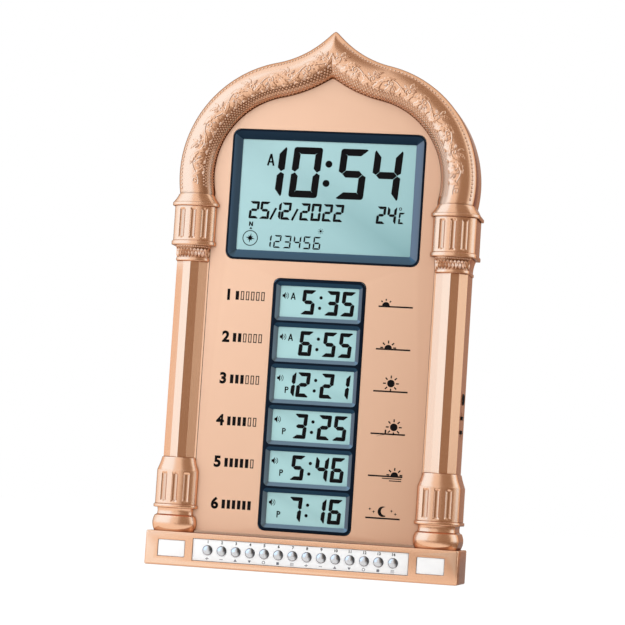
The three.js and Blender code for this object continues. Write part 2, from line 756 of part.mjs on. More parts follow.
function boardHoles(y0, y1) {
  return boardScrews.map(([x, z]) => rod(boardScrewRadius + clearance, x, z, y0, y1, smallSteps));
}

// Flat panel whose top follows the inside of the arch, with the posts that carry the main board.
function facePanel() {
  const line = archLine(-archWidth / 2 - clearance);
  const foot = line.at(-1)[0];
  const outline = [[-foot, panelBottom], ...line, [foot, panelBottom]];
  const ring = (y) => outline.map(([x, z]) => new THREE.Vector3(x, y, z));
  const plate = loft([ring(faceDepth), ring(panelBack)], fromFront);
  const postFront = faceDepth + panelThickness / 2;
  const posts = boardScrews.map(([x, z]) => rod(boardPostRadius, x, z, postFront, backlightBack));
  const gap = 2 * clearance;
  const depths = [faceDepth - overrun, panelBack + overrun];
  const bezels = [
    [mainBezelWidth, mainBezelHeight, mainBezelCorner, mainBezelZ],
    [timesBezelWidth, timesBezelHeight, timesBezelCorner, timesBezelZ],
  ];
  const windows = bezels.map(([width, height, corner, z]) =>
    roundedBlock(width + gap, height + gap, corner, 0, z, ...depths),
  );
  const pilots = boardHoles(panelBack, backlightBack + overrun);
  return cut(plate.add(join(posts)), [...windows, ...pilots]);
}

// Cutters for one window: a sloped opening in front and a pocket behind for the glass.
function windowCuts(width, height, z, slopeReach, margin) {
  const lip = bezelFront + bezelSlope;
  const slope = slopeReach / bezelSlope;
  const mouth = (y) => {
    const out = 2 * slope * (lip - y);
    return roundedRing(width + out, height + out, windowCorner, 0, z, y, sharpSteps);
  };
  const opening = loft([mouth(bezelFront - bezelSlope / 2), mouth(lip)], fromFront);
  const throat = roundedBlock(width, height, windowCorner, 0, z, lip - bezelLip, glassFront, sharpSteps);
  const [halfX, halfZ] = [width, height].map((size) => size / 2 + margin + clearance);
  const pocket = box(-halfX, halfX, lipBack, glassBack + overrun, z - halfZ, z + halfZ);
  return [opening, throat, pocket];
}

function bezelBody(width, height, corner, z) {
  const ring = (inset, y) => roundedRing(width - 2 * inset, height - 2 * inset, corner - inset, 0, z, y);
  const rings = [ring(bezelEdge, bezelFront), ring(0, bezelFront + bezelEdge), ring(0, glassBack)];
  const reach = 2 * flangeReach;
  const outer = corner + flangeReach;
  const rear = ledgeFront + flangeThickness;
  const flange = roundedBlock(width + reach, height + reach, outer, 0, z, ledgeFront, rear);
  return loft(rings, fromFront).add(flange);
}

function mainBezel() {
  const slopeReach = (mainBezelWidth - mainWindowWidth) / 2 - bezelRim;
  const cuts = windowCuts(mainWindowWidth, mainWindowHeight, mainBezelZ, slopeReach, glassMargin);
  return cut(bezelBody(mainBezelWidth, mainBezelHeight, mainBezelCorner, mainBezelZ), cuts);
}

function timesBezel() {
  const cuts = timeWindows.flatMap((i) =>
    windowCuts(timeWindowWidth, timeWindowHeight, timeWindowZ(i), timeRimInset, timeGlassMargin),
  );
  return cut(bezelBody(timesBezelWidth, timesBezelHeight, timesBezelCorner, timesBezelZ), cuts);
}

function glass(width, height, margin, z) {
  const halfWidth = width / 2 + margin;
  const halfHeight = height / 2 + margin;
  return box(-halfWidth, halfWidth, glassFront, glassBack, z - halfHeight, z + halfHeight);
}

// Light guide behind a bezel's glass.
function backlight(width, height, z) {
  const halfWidth = width / 2 + backlightReach;
  const halfHeight = height / 2 + backlightReach;
  return box(-halfWidth, halfWidth, backlightFront, backlightBack, z - halfHeight, z + halfHeight);
}

function mainBoard() {
  const half = mainBoardWidth / 2;
  const height = mainBoardTop - mainBoardBottom;
  const plate = box(-half, half, boardFront, boardBack, mainBoardBottom, mainBoardTop);
  const rear = boardBack - weldDepth;
  const chipShares = [
    { x: 0, up: 0.78, width: processorSide, height: processorSide },
    { x: 0.5, up: 0.8, width: memoryWidth, height: processorSide },
    { x: -0.55, up: 0.74, width: processorSide, height: memoryWidth },
    { x: 0.7, up: 0.4, width: memoryWidth, height: memoryWidth },
  ];
  const chips = chipShares.map((chip) => {
    const [x, z] = [chip.x * half, mainBoardBottom + chip.up * height];
    const [w, h] = [chip.width / 2, chip.height / 2];
    return box(x - w, x + w, rear, boardBack + chipHeight, z - h, z + h);
  });
  const capacitorShares = [[-0.75, 0.9], [-0.6, 0.9], [0.75, 0.92]];
  const capacitors = capacitorShares.map(([x, up]) =>
    rod(capacitorRadius, x * half, mainBoardBottom + up * height, rear, boardBack + capacitorHeight),
  );
  const socketShares = [[-0.8, 0.08], [0.8, 0.14], [0.8, 0.3], [-0.8, 0.5]];
  const sockets = socketShares.map(([x, up]) => {
    const [middle, z] = [x * half, mainBoardBottom + up * height];
    const [w, h] = [socketWidth / 2, socketLength / 2];
    return box(middle - w, middle + w, rear, boardBack + socketHeight, z - h, z + h);
  });
  const crystalShare = 0.7;
  const crystalZ = mainBoardBottom + crystalShare * height;
  const [w, h] = [crystalLength / 2, crystalWidth / 2];
  const crystal = box(-w, w, rear, boardBack + crystalWidth, crystalZ - h, crystalZ + h);
  const holes = boardHoles(boardFront - overrun, boardBack + overrun);
  return cut(join([plate, ...chips, ...capacitors, ...sockets, crystal]), holes);
}

function boardScrew(x, z) {
  const head = boardBack + clearance;
  const profile = [
    [0, head - boardScrewLength],
    [boardScrewRadius, head - boardScrewLength],
    [boardScrewRadius, head],
    [boardScrewHeadRadius, head],
    [boardScrewHeadRadius, head + boardScrewHeadHeight / 2],
    [boardScrewHeadRadius / 2, head + boardScrewHeadHeight],
    [0, head + boardScrewHeadHeight],
  ];
  return turned(profile, x, z, smallSteps);
}

function coverScrew(x, z) {
  const profile = [
    [0, coverHead - coverScrewLength],
    [coverScrewRadius, coverHead - coverScrewLength],
    [coverScrewRadius, coverHead],
    [coverScrewHead, coverHead],
    [coverScrewHead, coverHead + coverScrewHeadHeight / 2],
    [coverScrewHead / 2, coverHead + coverScrewHeadHeight],
    [0, coverHead + coverScrewHeadHeight],
  ];
  return turned(profile, x, z);
}

// White printed strip round the buttons, with a rim that lies behind the plinth's wall.
function buttonStrip() {
  const half = stripWidth / 2 - clearance;
  const [low, high] = [stripBelow + clearance, stripHigh - clearance];
  const face = box(-half, half, stripRecess, stripRear, low, high);
  const rimHalf = stripWidth / 2 + stripFlangeReach;
  const [rimLow, rimHigh] = [stripBelow - stripFlangeReach, stripHigh + stripFlangeReach];
  const rim = box(-rimHalf, rimHalf, stripBack, stripRear, rimLow, rimHigh);
  const rear = stripRear + overrun;
  const holes = buttons.map((i) => rod(buttonRadius + clearance, buttonX(i), buttonZ, 0, rear));
  return cut(face.add(rim), holes);
}

function button(i) {
  const crown = buttonDome - buttonProud;
  const domeShares = [[0, 1], [0.6, 0.8], [1, 0]];
  const profile = [
    ...domeShares.map(([out, up]) => [buttonRadius * out, crown - buttonDome * up]),
    [buttonRadius, buttonFlangeFront],
    [buttonFlange, buttonFlangeFront],
    [buttonFlange, buttonFlangeBack],
    [buttonStemRadius, buttonFlangeBack],
    [buttonStemRadius, buttonStemEnd],
    [0, buttonStemEnd],
  ];
  return turned(profile, buttonX(i), buttonZ);
}

// Circuit board behind the buttons, with one tact switch for each.
function buttonBoard() {
  const half = buttonBoardWidth / 2;
  const [low, high] = [wall + clearance, plinthCeiling - clearance];
  const plate = box(-half, half, buttonBoardFront, buttonBoardFront + boardThickness, low, high);
  const switches = buttons.map((i) => {
    const [x, side] = [buttonX(i), tactSide / 2];
    const rear = buttonBoardFront + weldDepth;
    const body = box(x - side, x + side, tactFront, rear, buttonZ - side, buttonZ + side);
    return body.add(rod(tactPlungerRadius, x, buttonZ, plungerFront, tactFront + weldDepth, smallSteps));
  });
  return join([plate, ...switches]);
}

function plaque(side) {
  const [w, h] = [plaqueWidth / 2 - clearance, plaqueHeight / 2 - clearance];
  const x = side * plaqueX;
  return box(x - w, x + w, plaqueRecess, plaqueRecess + plaqueThickness, plaqueZ - h, plaqueZ + h);
}

// Outline of the rear cover at one depth, set in from the outer line of the case.
function coverRing(inset, bottom, y) {
  const line = archLine(archWidth / 2 - inset);
  const foot = outerWallX - inset;
  const outline = [[-foot, bottom], ...line, [foot, bottom]];
  return outline.map(([x, z]) => new THREE.Vector3(x, y, z));
}

function rearCover() {
  const bottom = plinthHeight + clearance;
  const shoulder = caseDepth - coverSlope;
  const outer = loft([
    coverRing(coverInset, bottom, coverFront),
    coverRing(coverInset, bottom, shoulder),
    coverRing(coverInset + coverSlope / 3, bottom, caseDepth - coverSlope / 3),
    coverRing(coverInset + coverSlope, bottom, caseDepth),
  ], fromFront);
  const inner = coverInset + wall;
  const hollow = loft([
    coverRing(inner, bottom + wall, coverFront - overrun),
    coverRing(inner, bottom + wall, shoulder),
    coverRing(inner + coverSlope - wall / 2, bottom + wall, coverFloor),
  ], fromFront);
  const tongueX = plinthWidth / 2 - wall - clearance;
  const tongueTop = plinthCeiling - clearance;
  const tongue = box(-tongueX, tongueX, coverFloor, caseDepth, wall + clearance, tongueTop);
  const neckX = tongueHalfWidth;
  const neck = box(-neckX, neckX, coverFloor, caseDepth, tongueTop - wall, bottom + wall);
  const shell = outer.subtract(hollow);
  const [bossFront, bossBack] = [bossGapDepth + clearance, caseDepth - wall / 2];
  const bosses = coverScrews.map(([x, z]) => rod(bossRadius, x, z, bossFront, bossBack));
  const body = join([shell, tongue, neck, ...bosses, speakerSeat(), bayBox()]);
  return cut(body, [...screwHoles(), ...grille(), ...keyholes(), ...bayCuts()]);
}

function screwHoles() {
  return coverScrews.flatMap(([x, z]) => [
    rod(coverScrewRadius + clearance, x, z, bossGapDepth, caseDepth + overrun),
    rod(coverScrewHead + clearance, x, z, coverHead - clearance, caseDepth + overrun),
  ]);
}

function speakerSeat() {
  const inner = speakerRadius + clearance;
  const front = coverFloor - speakerRingDepth;
  const ring = rod(inner + speakerRing, 0, speakerZ, front, coverFloor + weldDepth, 2 * roundSteps);
  return ring.subtract(rod(inner, 0, speakerZ, front - overrun, coverFloor, 2 * roundSteps));
}

function grille() {
  return [...Array(grilleCount).keys()].map((i) => {
    const x = (i - (grilleCount - 1) / 2) * grillePitch;
    const reach = Math.sqrt((speakerRadius - speakerLip) ** 2 - x ** 2);
    const [x0, x1] = [x - grilleSlot / 2, x + grilleSlot / 2];
    return box(x0, x1, coverFloor - overrun, caseDepth + overrun, speakerZ - reach, speakerZ + reach);
  });
}

// Round hole for a screw head with a narrower slot above it.
function keyholes() {
  return both((side) => {
    const x = side * keyholeX;
    const [front, back] = [coverFloor - overrun, caseDepth + overrun];
    const head = rod(keyholeHead, x, keyholeZ, front, back);
    const top = keyholeZ + keyholeLength;
    const slot = box(x - keyholeSlot, x + keyholeSlot, front, back, keyholeZ, top);
    return join([head, slot, rod(keyholeSlot, x, top, front, back)]);
  });
}

function bayBox() {
  const [x, z] = [bayHalfWidth + bayWall, bayHalfLength + bayWall];
  return box(-x, x, bayFloor - bayWall, caseDepth - wall / 2, bayZ - z, bayZ + z);
}

function bayCuts() {
  const [x, z] = [doorHalfWidth + clearance, doorHalfLength + clearance];
  const rear = caseDepth + overrun;
  return [
    box(-bayHalfWidth, bayHalfWidth, bayFloor, rear, bayZ - bayHalfLength, bayZ + bayHalfLength),
    box(-x, x, doorFront - clearance, rear, bayZ - z, bayZ + z),
  ];
}

// Door with a sprung latch tongue cut free at its lower edge.
function batteryDoor() {
  const [low, high] = [bayZ - doorHalfLength, bayZ + doorHalfLength];
  const plate = box(-doorHalfWidth, doorHalfWidth, doorFront, caseDepth, low, high);
  const slots = both((side) => {
    const middle = (side * doorLatchWidth) / 2;
    const [x0, x1] = [middle - doorLatchSlot / 2, middle + doorLatchSlot / 2];
    return box(x0, x1, doorFront - overrun, caseDepth + overrun, low - overrun, low + doorLatchLength);
  });
  return cut(plate, slots);
}

// A turned piece whose axis is upright. Each profile point is a radius and a height.
function upright(profile, x, y, sides = roundSteps) {
  const points = profile.map(([radius, height]) => new THREE.Vector2(radius, height));
  return solidOf(new THREE.LatheGeometry(points, sides).rotateX(Math.PI / 2).translate(x, y, 0));
}

function cell(i) {
  const way = cellWay(i);
  const bottom = springLength - contactFace;
  const shoulder = cellRadius - cellGap;
  const rows = [
    [0, bottom],
    [shoulder, bottom],
    [cellRadius, bottom + cellGap / 2],
    [cellRadius, bottom + cellLength - cellGap / 2],
    [shoulder, bottom + cellLength],
    [cellNubRadius, bottom + cellLength],
    [cellNubRadius, bottom + cellLength + cellNub],
    [0, bottom + cellLength + cellNub],
  ];
  return upright(rows.map(([radius, z]) => [radius, bayZ + way * z]), cellX(i), cellY);
}

// Contact plate at one end of the bay, with a spring for each negative end and a nub for each positive.
function contact(end, served) {
  const outer = end * (contactFace + contactThickness);
  const face = end * contactFace;
  const half = contactWidth / 2;
  const xs = served.map(cellX);
  const [x0, x1] = [Math.min(...xs) - half, Math.max(...xs) + half];
  const [low, high] = [Math.min(outer, face), Math.max(outer, face)];
  const plate = box(x0, x1, cellY - half, cellY + half, bayZ + low, bayZ + high);
  const sunk = face + end * (contactThickness / 2);
  const tips = served.map((i) => {
    const negative = cellWay(i) !== end;
    const [base, tip, length] = negative
      ? [springRadius, springTipRadius, springLength - clearance]
      : [cellNubRadius, cellNubRadius, contactNub];
    const reached = face - end * length;
    const rows = [[0, sunk], [base, sunk], [base, face], [tip, reached], [0, reached]];
    return upright(rows.map(([radius, z]) => [radius, bayZ + z]), cellX(i), cellY);
  });
  return join([plate, ...tips]);
}

function speakerBasket() {
  const lipInner = speakerRadius - speakerLip;
  const profile = [
    [lipInner, speakerBack],
    [speakerRadius, speakerBack],
    [speakerRadius, lipFront],
    [lipInner + speakerSheet, lipFront],
    [speakerBasketRadius, basketFront],
    [coneThroat, basketFront],
    [coneThroat, basketFront + speakerSheet],
    [speakerBasketRadius - speakerSheet, basketFront + speakerSheet],
    [lipInner, lipFront],
    [lipInner, speakerBack],
  ];
  return turned(profile, 0, speakerZ, 2 * roundSteps);
}

function speakerCone() {
  const rim = speakerRadius - speakerLip - clearance;
  const profile = [
    [0, throatDepth + coneSheet],
    [coneThroat, throatDepth + coneSheet],
    [rim, speakerBack],
    [rim, speakerBack - coneSheet],
    [coneThroat, throatDepth],
    [0, throatDepth],
  ];
  return turned(profile, 0, speakerZ, 2 * roundSteps);
}

function speakerMagnet() {
  const back = basketFront - clearance;
  return rod(magnetRadius, 0, speakerZ, back - magnetHeight, back, 2 * roundSteps);
}

function dcJack() {
  const face = sideInner - clearance;
  const half = jackWidth / 2;
  const body = box(face - jackLength, face, jackFront, jackFront + jackHeight, jackZ - half, jackZ + half);
  const floor = face - jackBoreDepth;
  const bore = crossRod(jackBore, floor, face + overrun, jackY, jackZ, boreSteps);
  const pin = crossRod(jackPin, floor - weldDepth, floor + jackPinLength, jackY, jackZ, smallSteps);
  return body.subtract(bore).add(pin);
}

function switchBody(z) {
  const face = sideInner - clearance;
  const half = switchLength / 2;
  const body = box(face - switchDepth, face, jackFront, jackFront + switchHeight, z - half, z + half);
  return body.subtract(knobSlot(z, face - knobSeat - clearance, face + overrun));
}

function switchKnob(z, way) {
  const middle = z + (way * knobTravel) / 2;
  const seat = sideInner - clearance - knobSeat;
  const [w, h] = [knobWidth / 2, knobLength / 2];
  return box(seat, outerWallX + knobProud, knobY - w, knobY + w, middle - h, middle + h);
}

function sideBoard() {
  return box(boardX, boardX + sideBoardWidth, sideBoardFront, sideBoardBack, sideBoardBottom, sideBoardTop);
}

const clock = new THREE.Group();

function place(name, solid, look) {
  const mesh = new THREE.Mesh(geometryOf(solid), new THREE.MeshStandardMaterial(look));
  mesh.name = name;
  clock.add(mesh);
}

place("front_shell", frontShell(), finish.roseShell);
place("face_panel", facePanel(), finish.peachPanel);
place("main_bezel", mainBezel(), finish.slateBezel);
place("times_bezel", timesBezel(), finish.slateBezel);
place("main_lcd", glass(mainWindowWidth, mainWindowHeight, glassMargin, mainBezelZ), finish.paleGlass);
for (const i of timeWindows) {
  const pane = glass(timeWindowWidth, timeWindowHeight, timeGlassMargin, timeWindowZ(i));
  place(`time_lcd_${i + 1}`, pane, finish.paleGlass);
}
place("main_backlight", backlight(mainBezelWidth, mainBezelHeight, mainBezelZ), finish.diffuser);
place("times_backlight", backlight(timesBezelWidth, timesBezelHeight, timesBezelZ), finish.diffuser);
place("main_board", mainBoard(), finish.circuitBoard);
boardScrews.forEach(([x, z], i) => place(`board_screw_${i + 1}`, boardScrew(x, z), finish.steel));
place("button_strip", buttonStrip(), finish.whiteSheet);
for (const i of buttons) place(`button_${i + 1}`, button(i), finish.chromeCap);
place("button_board", buttonBoard(), finish.circuitBoard);
place("left_plaque", plaque(-1), finish.whiteSheet);
place("right_plaque", plaque(1), finish.whiteSheet);
place("rear_cover", rearCover(), finish.roseCover);
coverScrews.forEach(([x, z], i) => place(`cover_screw_${i + 1}`, coverScrew(x, z), finish.steel));
place("battery_door", batteryDoor(), finish.roseCover);
for (const i of cells) place(`battery_${i + 1}`, cell(i), finish.cellWrap);
place("contact_negative", contact(-1, [0]), finish.steel);
place("contact_bridge_top", contact(1, [0, 1]), finish.steel);
place("contact_bridge_bottom", contact(-1, [1, 2]), finish.steel);
place("contact_positive", contact(1, [2]), finish.steel);
place("speaker_basket", speakerBasket(), finish.steel);
place("speaker_cone", speakerCone(), finish.paperCone);
place("speaker_magnet", speakerMagnet(), finish.blackPlastic);
place("side_board", sideBoard(), finish.circuitBoard);
place("dc_jack", dcJack(), finish.blackPlastic);
place("switch_body_upper", switchBody(switchUpperZ), finish.steel);
place("switch_body_lower", switchBody(switchLowerZ), finish.steel);
place("switch_knob_upper", switchKnob(switchUpperZ, -1), finish.blackPlastic);
place("switch_knob_lower", switchKnob(switchLowerZ, 1), finish.blackPlastic);

// The origin lies at the middle of the base, between the button tops and the back.
clock.position.y = -(caseDepth - buttonProud) / 2;

export default clock;
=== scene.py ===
# Dresses the arched azan clock: rose gold case with a carved arch and two columns, peach face panel,
# seven displays, fourteen buttons, rear cover and works. Sizes are millimetres, from the plinth's front.
import json
import math

import bmesh
import bpy
import numpy as np
from mathutils import Matrix, Vector

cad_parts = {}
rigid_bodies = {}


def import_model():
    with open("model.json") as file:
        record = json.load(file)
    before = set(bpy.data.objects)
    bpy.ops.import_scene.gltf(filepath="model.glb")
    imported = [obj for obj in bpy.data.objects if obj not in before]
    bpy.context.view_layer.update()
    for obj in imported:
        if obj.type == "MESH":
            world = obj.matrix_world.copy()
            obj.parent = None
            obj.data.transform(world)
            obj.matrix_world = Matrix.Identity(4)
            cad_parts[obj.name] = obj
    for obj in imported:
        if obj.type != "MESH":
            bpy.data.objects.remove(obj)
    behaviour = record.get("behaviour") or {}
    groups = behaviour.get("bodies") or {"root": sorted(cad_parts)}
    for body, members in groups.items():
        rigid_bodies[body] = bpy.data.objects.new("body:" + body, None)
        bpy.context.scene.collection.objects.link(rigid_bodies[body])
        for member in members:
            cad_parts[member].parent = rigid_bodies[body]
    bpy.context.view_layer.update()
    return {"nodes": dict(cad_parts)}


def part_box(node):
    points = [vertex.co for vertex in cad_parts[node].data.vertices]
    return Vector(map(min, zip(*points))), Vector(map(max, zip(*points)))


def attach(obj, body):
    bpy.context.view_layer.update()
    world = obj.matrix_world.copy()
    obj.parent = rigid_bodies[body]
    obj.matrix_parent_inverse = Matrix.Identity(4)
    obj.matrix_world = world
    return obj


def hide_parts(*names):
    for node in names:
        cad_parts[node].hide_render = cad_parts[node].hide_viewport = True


for thing in list(bpy.data.objects):
    bpy.data.objects.remove(thing)

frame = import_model()
frontY = -19.7  # the plinth's front face in the frame


# Small tools for meshes

def toFrame(points):
    moved = np.array(points, float).reshape(-1, 3)
    moved[:, 1] += frontY
    return moved / 1000


def link(piece):
    bpy.context.scene.collection.objects.link(piece)
    return piece


def shade(mesh, angle=32):
    mesh.polygons.foreach_set("use_smooth", [True] * len(mesh.polygons))
    mesh.set_sharp_from_angle(angle=math.radians(angle))


def outward(mesh):
    work = bmesh.new()
    work.from_mesh(mesh)
    bmesh.ops.remove_doubles(work, verts=work.verts, dist=1e-7)
    bmesh.ops.recalc_face_normals(work, faces=work.faces)
    work.to_mesh(mesh)
    work.free()


def meshPiece(name, points, faces, material=None, angle=32, tidy=True):
    mesh = bpy.data.meshes.new(name)
    mesh.from_pydata(toFrame(points).tolist(), [], [list(map(int, face)) for face in faces])
    if tidy:
        outward(mesh)
    shade(mesh, angle)
    if material:
        mesh.materials.append(material)
    return link(bpy.data.objects.new(name, mesh))


def ringFaces(rows, count, start=0, closed=True):
    faces = []
    last = count if closed else count - 1
    for row in range(rows - 1):
        for i in range(last):
            a = start + row * count + i
            b = start + row * count + (i + 1) % count
            faces.append((a, b, b + count, a + count))
    return faces


def loft(rings):
    # closed skin through rings of as many points, with a flat lid at both ends
    rings = np.array(rings, float)
    rows, count = rings.shape[:2]
    faces = ringFaces(rows, count)
    faces.append(tuple(range(count))[::-1])
    faces.append(tuple(range((rows - 1) * count, rows * count)))
    return rings.reshape(-1, 3), faces


def joinShapes(shapes):
    points, faces, start = [], [], 0
    for some, these in shapes:
        points.append(np.array(some, float).reshape(-1, 3))
        faces += [tuple(start + i for i in face) for face in these]
        start += len(points[-1])
    return np.vstack(points), faces


def boxShape(x0, x1, y0, y1, z0, z1):
    ring = lambda y: [(x0, y, z0), (x1, y, z0), (x1, y, z1), (x0, y, z1)]
    return loft([ring(y0), ring(y1)])


def roundedRing(width, height, corner, x, z, y, steps=8):
    ring = []
    for quarter in range(4):
        midX = x + (1 if quarter in (0, 3) else -1) * (width / 2 - corner)
        midZ = z + (1 if quarter < 2 else -1) * (height / 2 - corner)
        for step in range(steps + 1):
            turn = (quarter + step / steps) * math.pi / 2
            ring.append((midX + corner * math.cos(turn), y, midZ + corner * math.sin(turn)))
    return ring


def discRing(radius, x, z, y, sides=48):
    turns = [2 * math.pi * i / sides for i in range(sides)]
    return [(x + radius * math.cos(t), y, z + radius * math.sin(t)) for t in turns]


def turnedShape(profile, x=0, z=0, sides=48):
    # turned about an axis that runs front to back; the profile has radii and depths
    return loft([discRing(max(radius, 1e-3), x, z, depth, sides) for radius, depth in profile])


def crossShape(profile, y, z, sides=40):
    # turned about an axis that runs left to right; the profile has radii and places along x
    turns = [2 * math.pi * i / sides for i in range(sides)]
    rings = [[(at, y + max(radius, 1e-3) * math.cos(t), z + max(radius, 1e-3) * math.sin(t)) for t in turns]
             for radius, at in profile]
    return loft(rings)


def quarterTurns(steps):
    return [math.radians(90 * i / steps) for i in range(steps + 1)]


def slabShape(width, height, corner, x, z, rows, steps, follow=0):
    # a plate with rounded corners; each row holds how far its ring is set in, and its depth
    return loft([roundedRing(width - 2 * inset, height - 2 * inset, corner - follow * inset, x, z, y, steps)
                 for inset, y in rows])


def flatShape(outline, y, thickness):
    # thin plate that faces the front, from (x, z) points
    ring = lambda depth: [(x, depth, z) for x, z in outline]
    return loft([ring(y - thickness), ring(y)])


def bakeMesh(piece):
    bpy.context.view_layer.update()
    depsgraph = bpy.context.evaluated_depsgraph_get()
    mesh = bpy.data.meshes.new_from_object(piece.evaluated_get(depsgraph))
    piece.modifiers.clear()
    piece.data = mesh
    return piece


def combine(piece, other, how="DIFFERENCE"):
    tool = piece.modifiers.new("combine", "BOOLEAN")
    tool.operation = how
    tool.solver = "EXACT"
    tool.object = other
    bakeMesh(piece)
    bpy.data.objects.remove(other)


def cut(piece, shapes):
    for i, shape in enumerate(shapes):
        combine(piece, meshPiece(f"cutter{i}", *shape))
    return piece


def merge(name, pieces):
    first = pieces[0]
    with bpy.context.temp_override(active_object=first, object=first, selected_editable_objects=pieces,
                                   selected_objects=pieces):
        bpy.ops.object.join()
    first.name = name
    return first


def pointsOf(mesh):
    # in millimetres from the plinth's front, the way back from toFrame
    flat = np.empty(len(mesh.vertices) * 3, np.float32)
    mesh.vertices.foreach_get("co", flat)
    return flat.reshape(-1, 3).astype(float) * 1000 - (0, frontY, 0)


def layOut(piece, points):
    # gives a carved piece its place on a moulding
    piece.data.vertices.foreach_set("co", toFrame(points).ravel())
    piece.data.update()
    outward(piece.data)
    shade(piece.data, 40)
    return piece


# Node trees

def makeNode(tree, kind, inputs=None, **settings):
    node = tree.nodes.new(kind)
    for key, value in settings.items():
        setattr(node, key, value)
    for socket, value in (inputs or {}).items():
        if isinstance(value, bpy.types.NodeSocket):
            tree.links.new(value, node.inputs[socket])
        else:
            node.inputs[socket].default_value = value
    return node


def newSockets(tree, way, sockets):
    for name, kind, value in sockets:
        socket = tree.interface.new_socket(name=name, in_out=way, socket_type="NodeSocket" + kind)
        if value is not None:
            socket.default_value = value


def mathNode(tree, how, a, b=0.0, clamp=False):
    return makeNode(tree, "ShaderNodeMath", {0: a, 1: b}, operation=how, use_clamp=clamp).outputs[0]


def endTree(tree, geometry, finish):
    # every tree ends in a real mesh that has its finish
    real = makeNode(tree, "GeometryNodeRealizeInstances", {"Geometry": geometry})
    done = makeNode(tree, "GeometryNodeSetMaterial", {"Geometry": real.outputs[0], "Material": finish})
    makeNode(tree, "NodeGroupOutput", {"Geometry": done.outputs[0]})
    return tree


def makeRepeatTree():
    # puts a copy of the template on each point, turned and sized by the point's own values
    tree = bpy.data.node_groups.new("repeatTree", "GeometryNodeTree")
    newSockets(tree, "INPUT", [("Points", "Geometry", None), ("Template", "Object", None),
                               ("Size", "Float", 1.0), ("Size Spread", "Float", 0.0), ("Seed", "Int", 1),
                               ("Finish", "Material", None)])
    newSockets(tree, "OUTPUT", [("Geometry", "Geometry", None)])
    given = tree.nodes.new("NodeGroupInput").outputs
    template = makeNode(tree, "GeometryNodeObjectInfo", {"Object": given["Template"]})
    turn, size = [makeNode(tree, "GeometryNodeInputNamedAttribute", {"Name": name}, data_type="FLOAT_VECTOR")
                  for name in ("turn", "size")]
    euler = makeNode(tree, "FunctionNodeEulerToRotation", {"Euler": turn.outputs["Attribute"]})
    low = mathNode(tree, "SUBTRACT", given["Size"], given["Size Spread"])
    high = mathNode(tree, "ADD", given["Size"], given["Size Spread"])
    chance = makeNode(tree, "FunctionNodeRandomValue", {2: low, 3: high, "Seed": given["Seed"]},
                      data_type="FLOAT")
    scale = makeNode(tree, "ShaderNodeVectorMath", {0: size.outputs["Attribute"], "Scale": chance.outputs[1]},
                     operation="SCALE")
    copies = makeNode(tree, "GeometryNodeInstanceOnPoints", {
        "Points": given["Points"], "Instance": template.outputs["Geometry"],
        "Rotation": euler.outputs[0], "Scale": scale.outputs[0]})
    return endTree(tree, copies.outputs[0], given["Finish"])


def makeStemTree():
    # a round stem along the edges of a line
    tree = bpy.data.node_groups.new("stemTree", "GeometryNodeTree")
    newSockets(tree, "INPUT", [("Line", "Geometry", None), ("Radius", "Float", 0.0005),
                               ("Step", "Float", 0.001), ("Finish", "Material", None)])
    newSockets(tree, "OUTPUT", [("Geometry", "Geometry", None)])
    given = tree.nodes.new("NodeGroupInput").outputs
    line = makeNode(tree, "GeometryNodeMeshToCurve", {"Mesh": given["Line"]})
    even = makeNode(tree, "GeometryNodeResampleCurve", {"Curve": line.outputs[0], "Length": given["Step"]},
                    mode="LENGTH")
    profile = makeNode(tree, "GeometryNodeCurvePrimitiveCircle", {"Resolution": 8, "Radius": given["Radius"]})
    tube = makeNode(tree, "GeometryNodeCurveToMesh", {
        "Curve": even.outputs[0], "Profile Curve": profile.outputs[0], "Fill Caps": True})
    return endTree(tree, tube.outputs[0], given["Finish"])


def grow(name, tree, points, edges=(), attributes=None, **inputs):
    # runs a tree on a few points or a line and keeps the result as a plain mesh
    mesh = bpy.data.meshes.new(name)
    mesh.from_pydata([tuple(p) for p in points], [tuple(e) for e in edges], [])
    for key, values in (attributes or {}).items():
        attribute = mesh.attributes.new(key, "FLOAT_VECTOR", "POINT")
        attribute.data.foreach_set("vector", np.array(values, np.float32).ravel())
    piece = link(bpy.data.objects.new(name, mesh))
    build = piece.modifiers.new("build", "NODES")
    build.node_group = tree
    for item in tree.interface.items_tree:
        key = item.name.replace(" ", "")
        if item.item_type == "SOCKET" and item.in_out == "INPUT" and key in inputs:
            build[item.identifier] = inputs[key]
    return bakeMesh(piece)


def repeat(name, template, places, finish, turns=None, sizes=None, spread=0.0, seed=1, keepTemplate=False):
    # copies of a template, in millimetres, at (x, y, z) places
    count = len(places)
    values = {"turn": turns or [(0, 0, 0)] * count, "size": sizes or [(1, 1, 1)] * count}
    piece = grow(name, repeatTree, toFrame(places), attributes=values, Template=template, Size=1.0,
                 SizeSpread=spread, Seed=seed, Finish=finish)
    if not keepTemplate:
        bpy.data.objects.remove(template)
    shade(piece.data)
    return piece


def templatePiece(name, shape):
    # a shape round its own origin, which the trees copy
    points, faces = shape
    mesh = bpy.data.meshes.new(name)
    mesh.from_pydata((np.array(points) / 1000).tolist(), [], [list(map(int, face)) for face in faces])
    outward(mesh)
    shade(mesh)
    return link(bpy.data.objects.new(name, mesh))


repeatTree = makeRepeatTree()
stemTree = makeStemTree()


# Shared surface effects

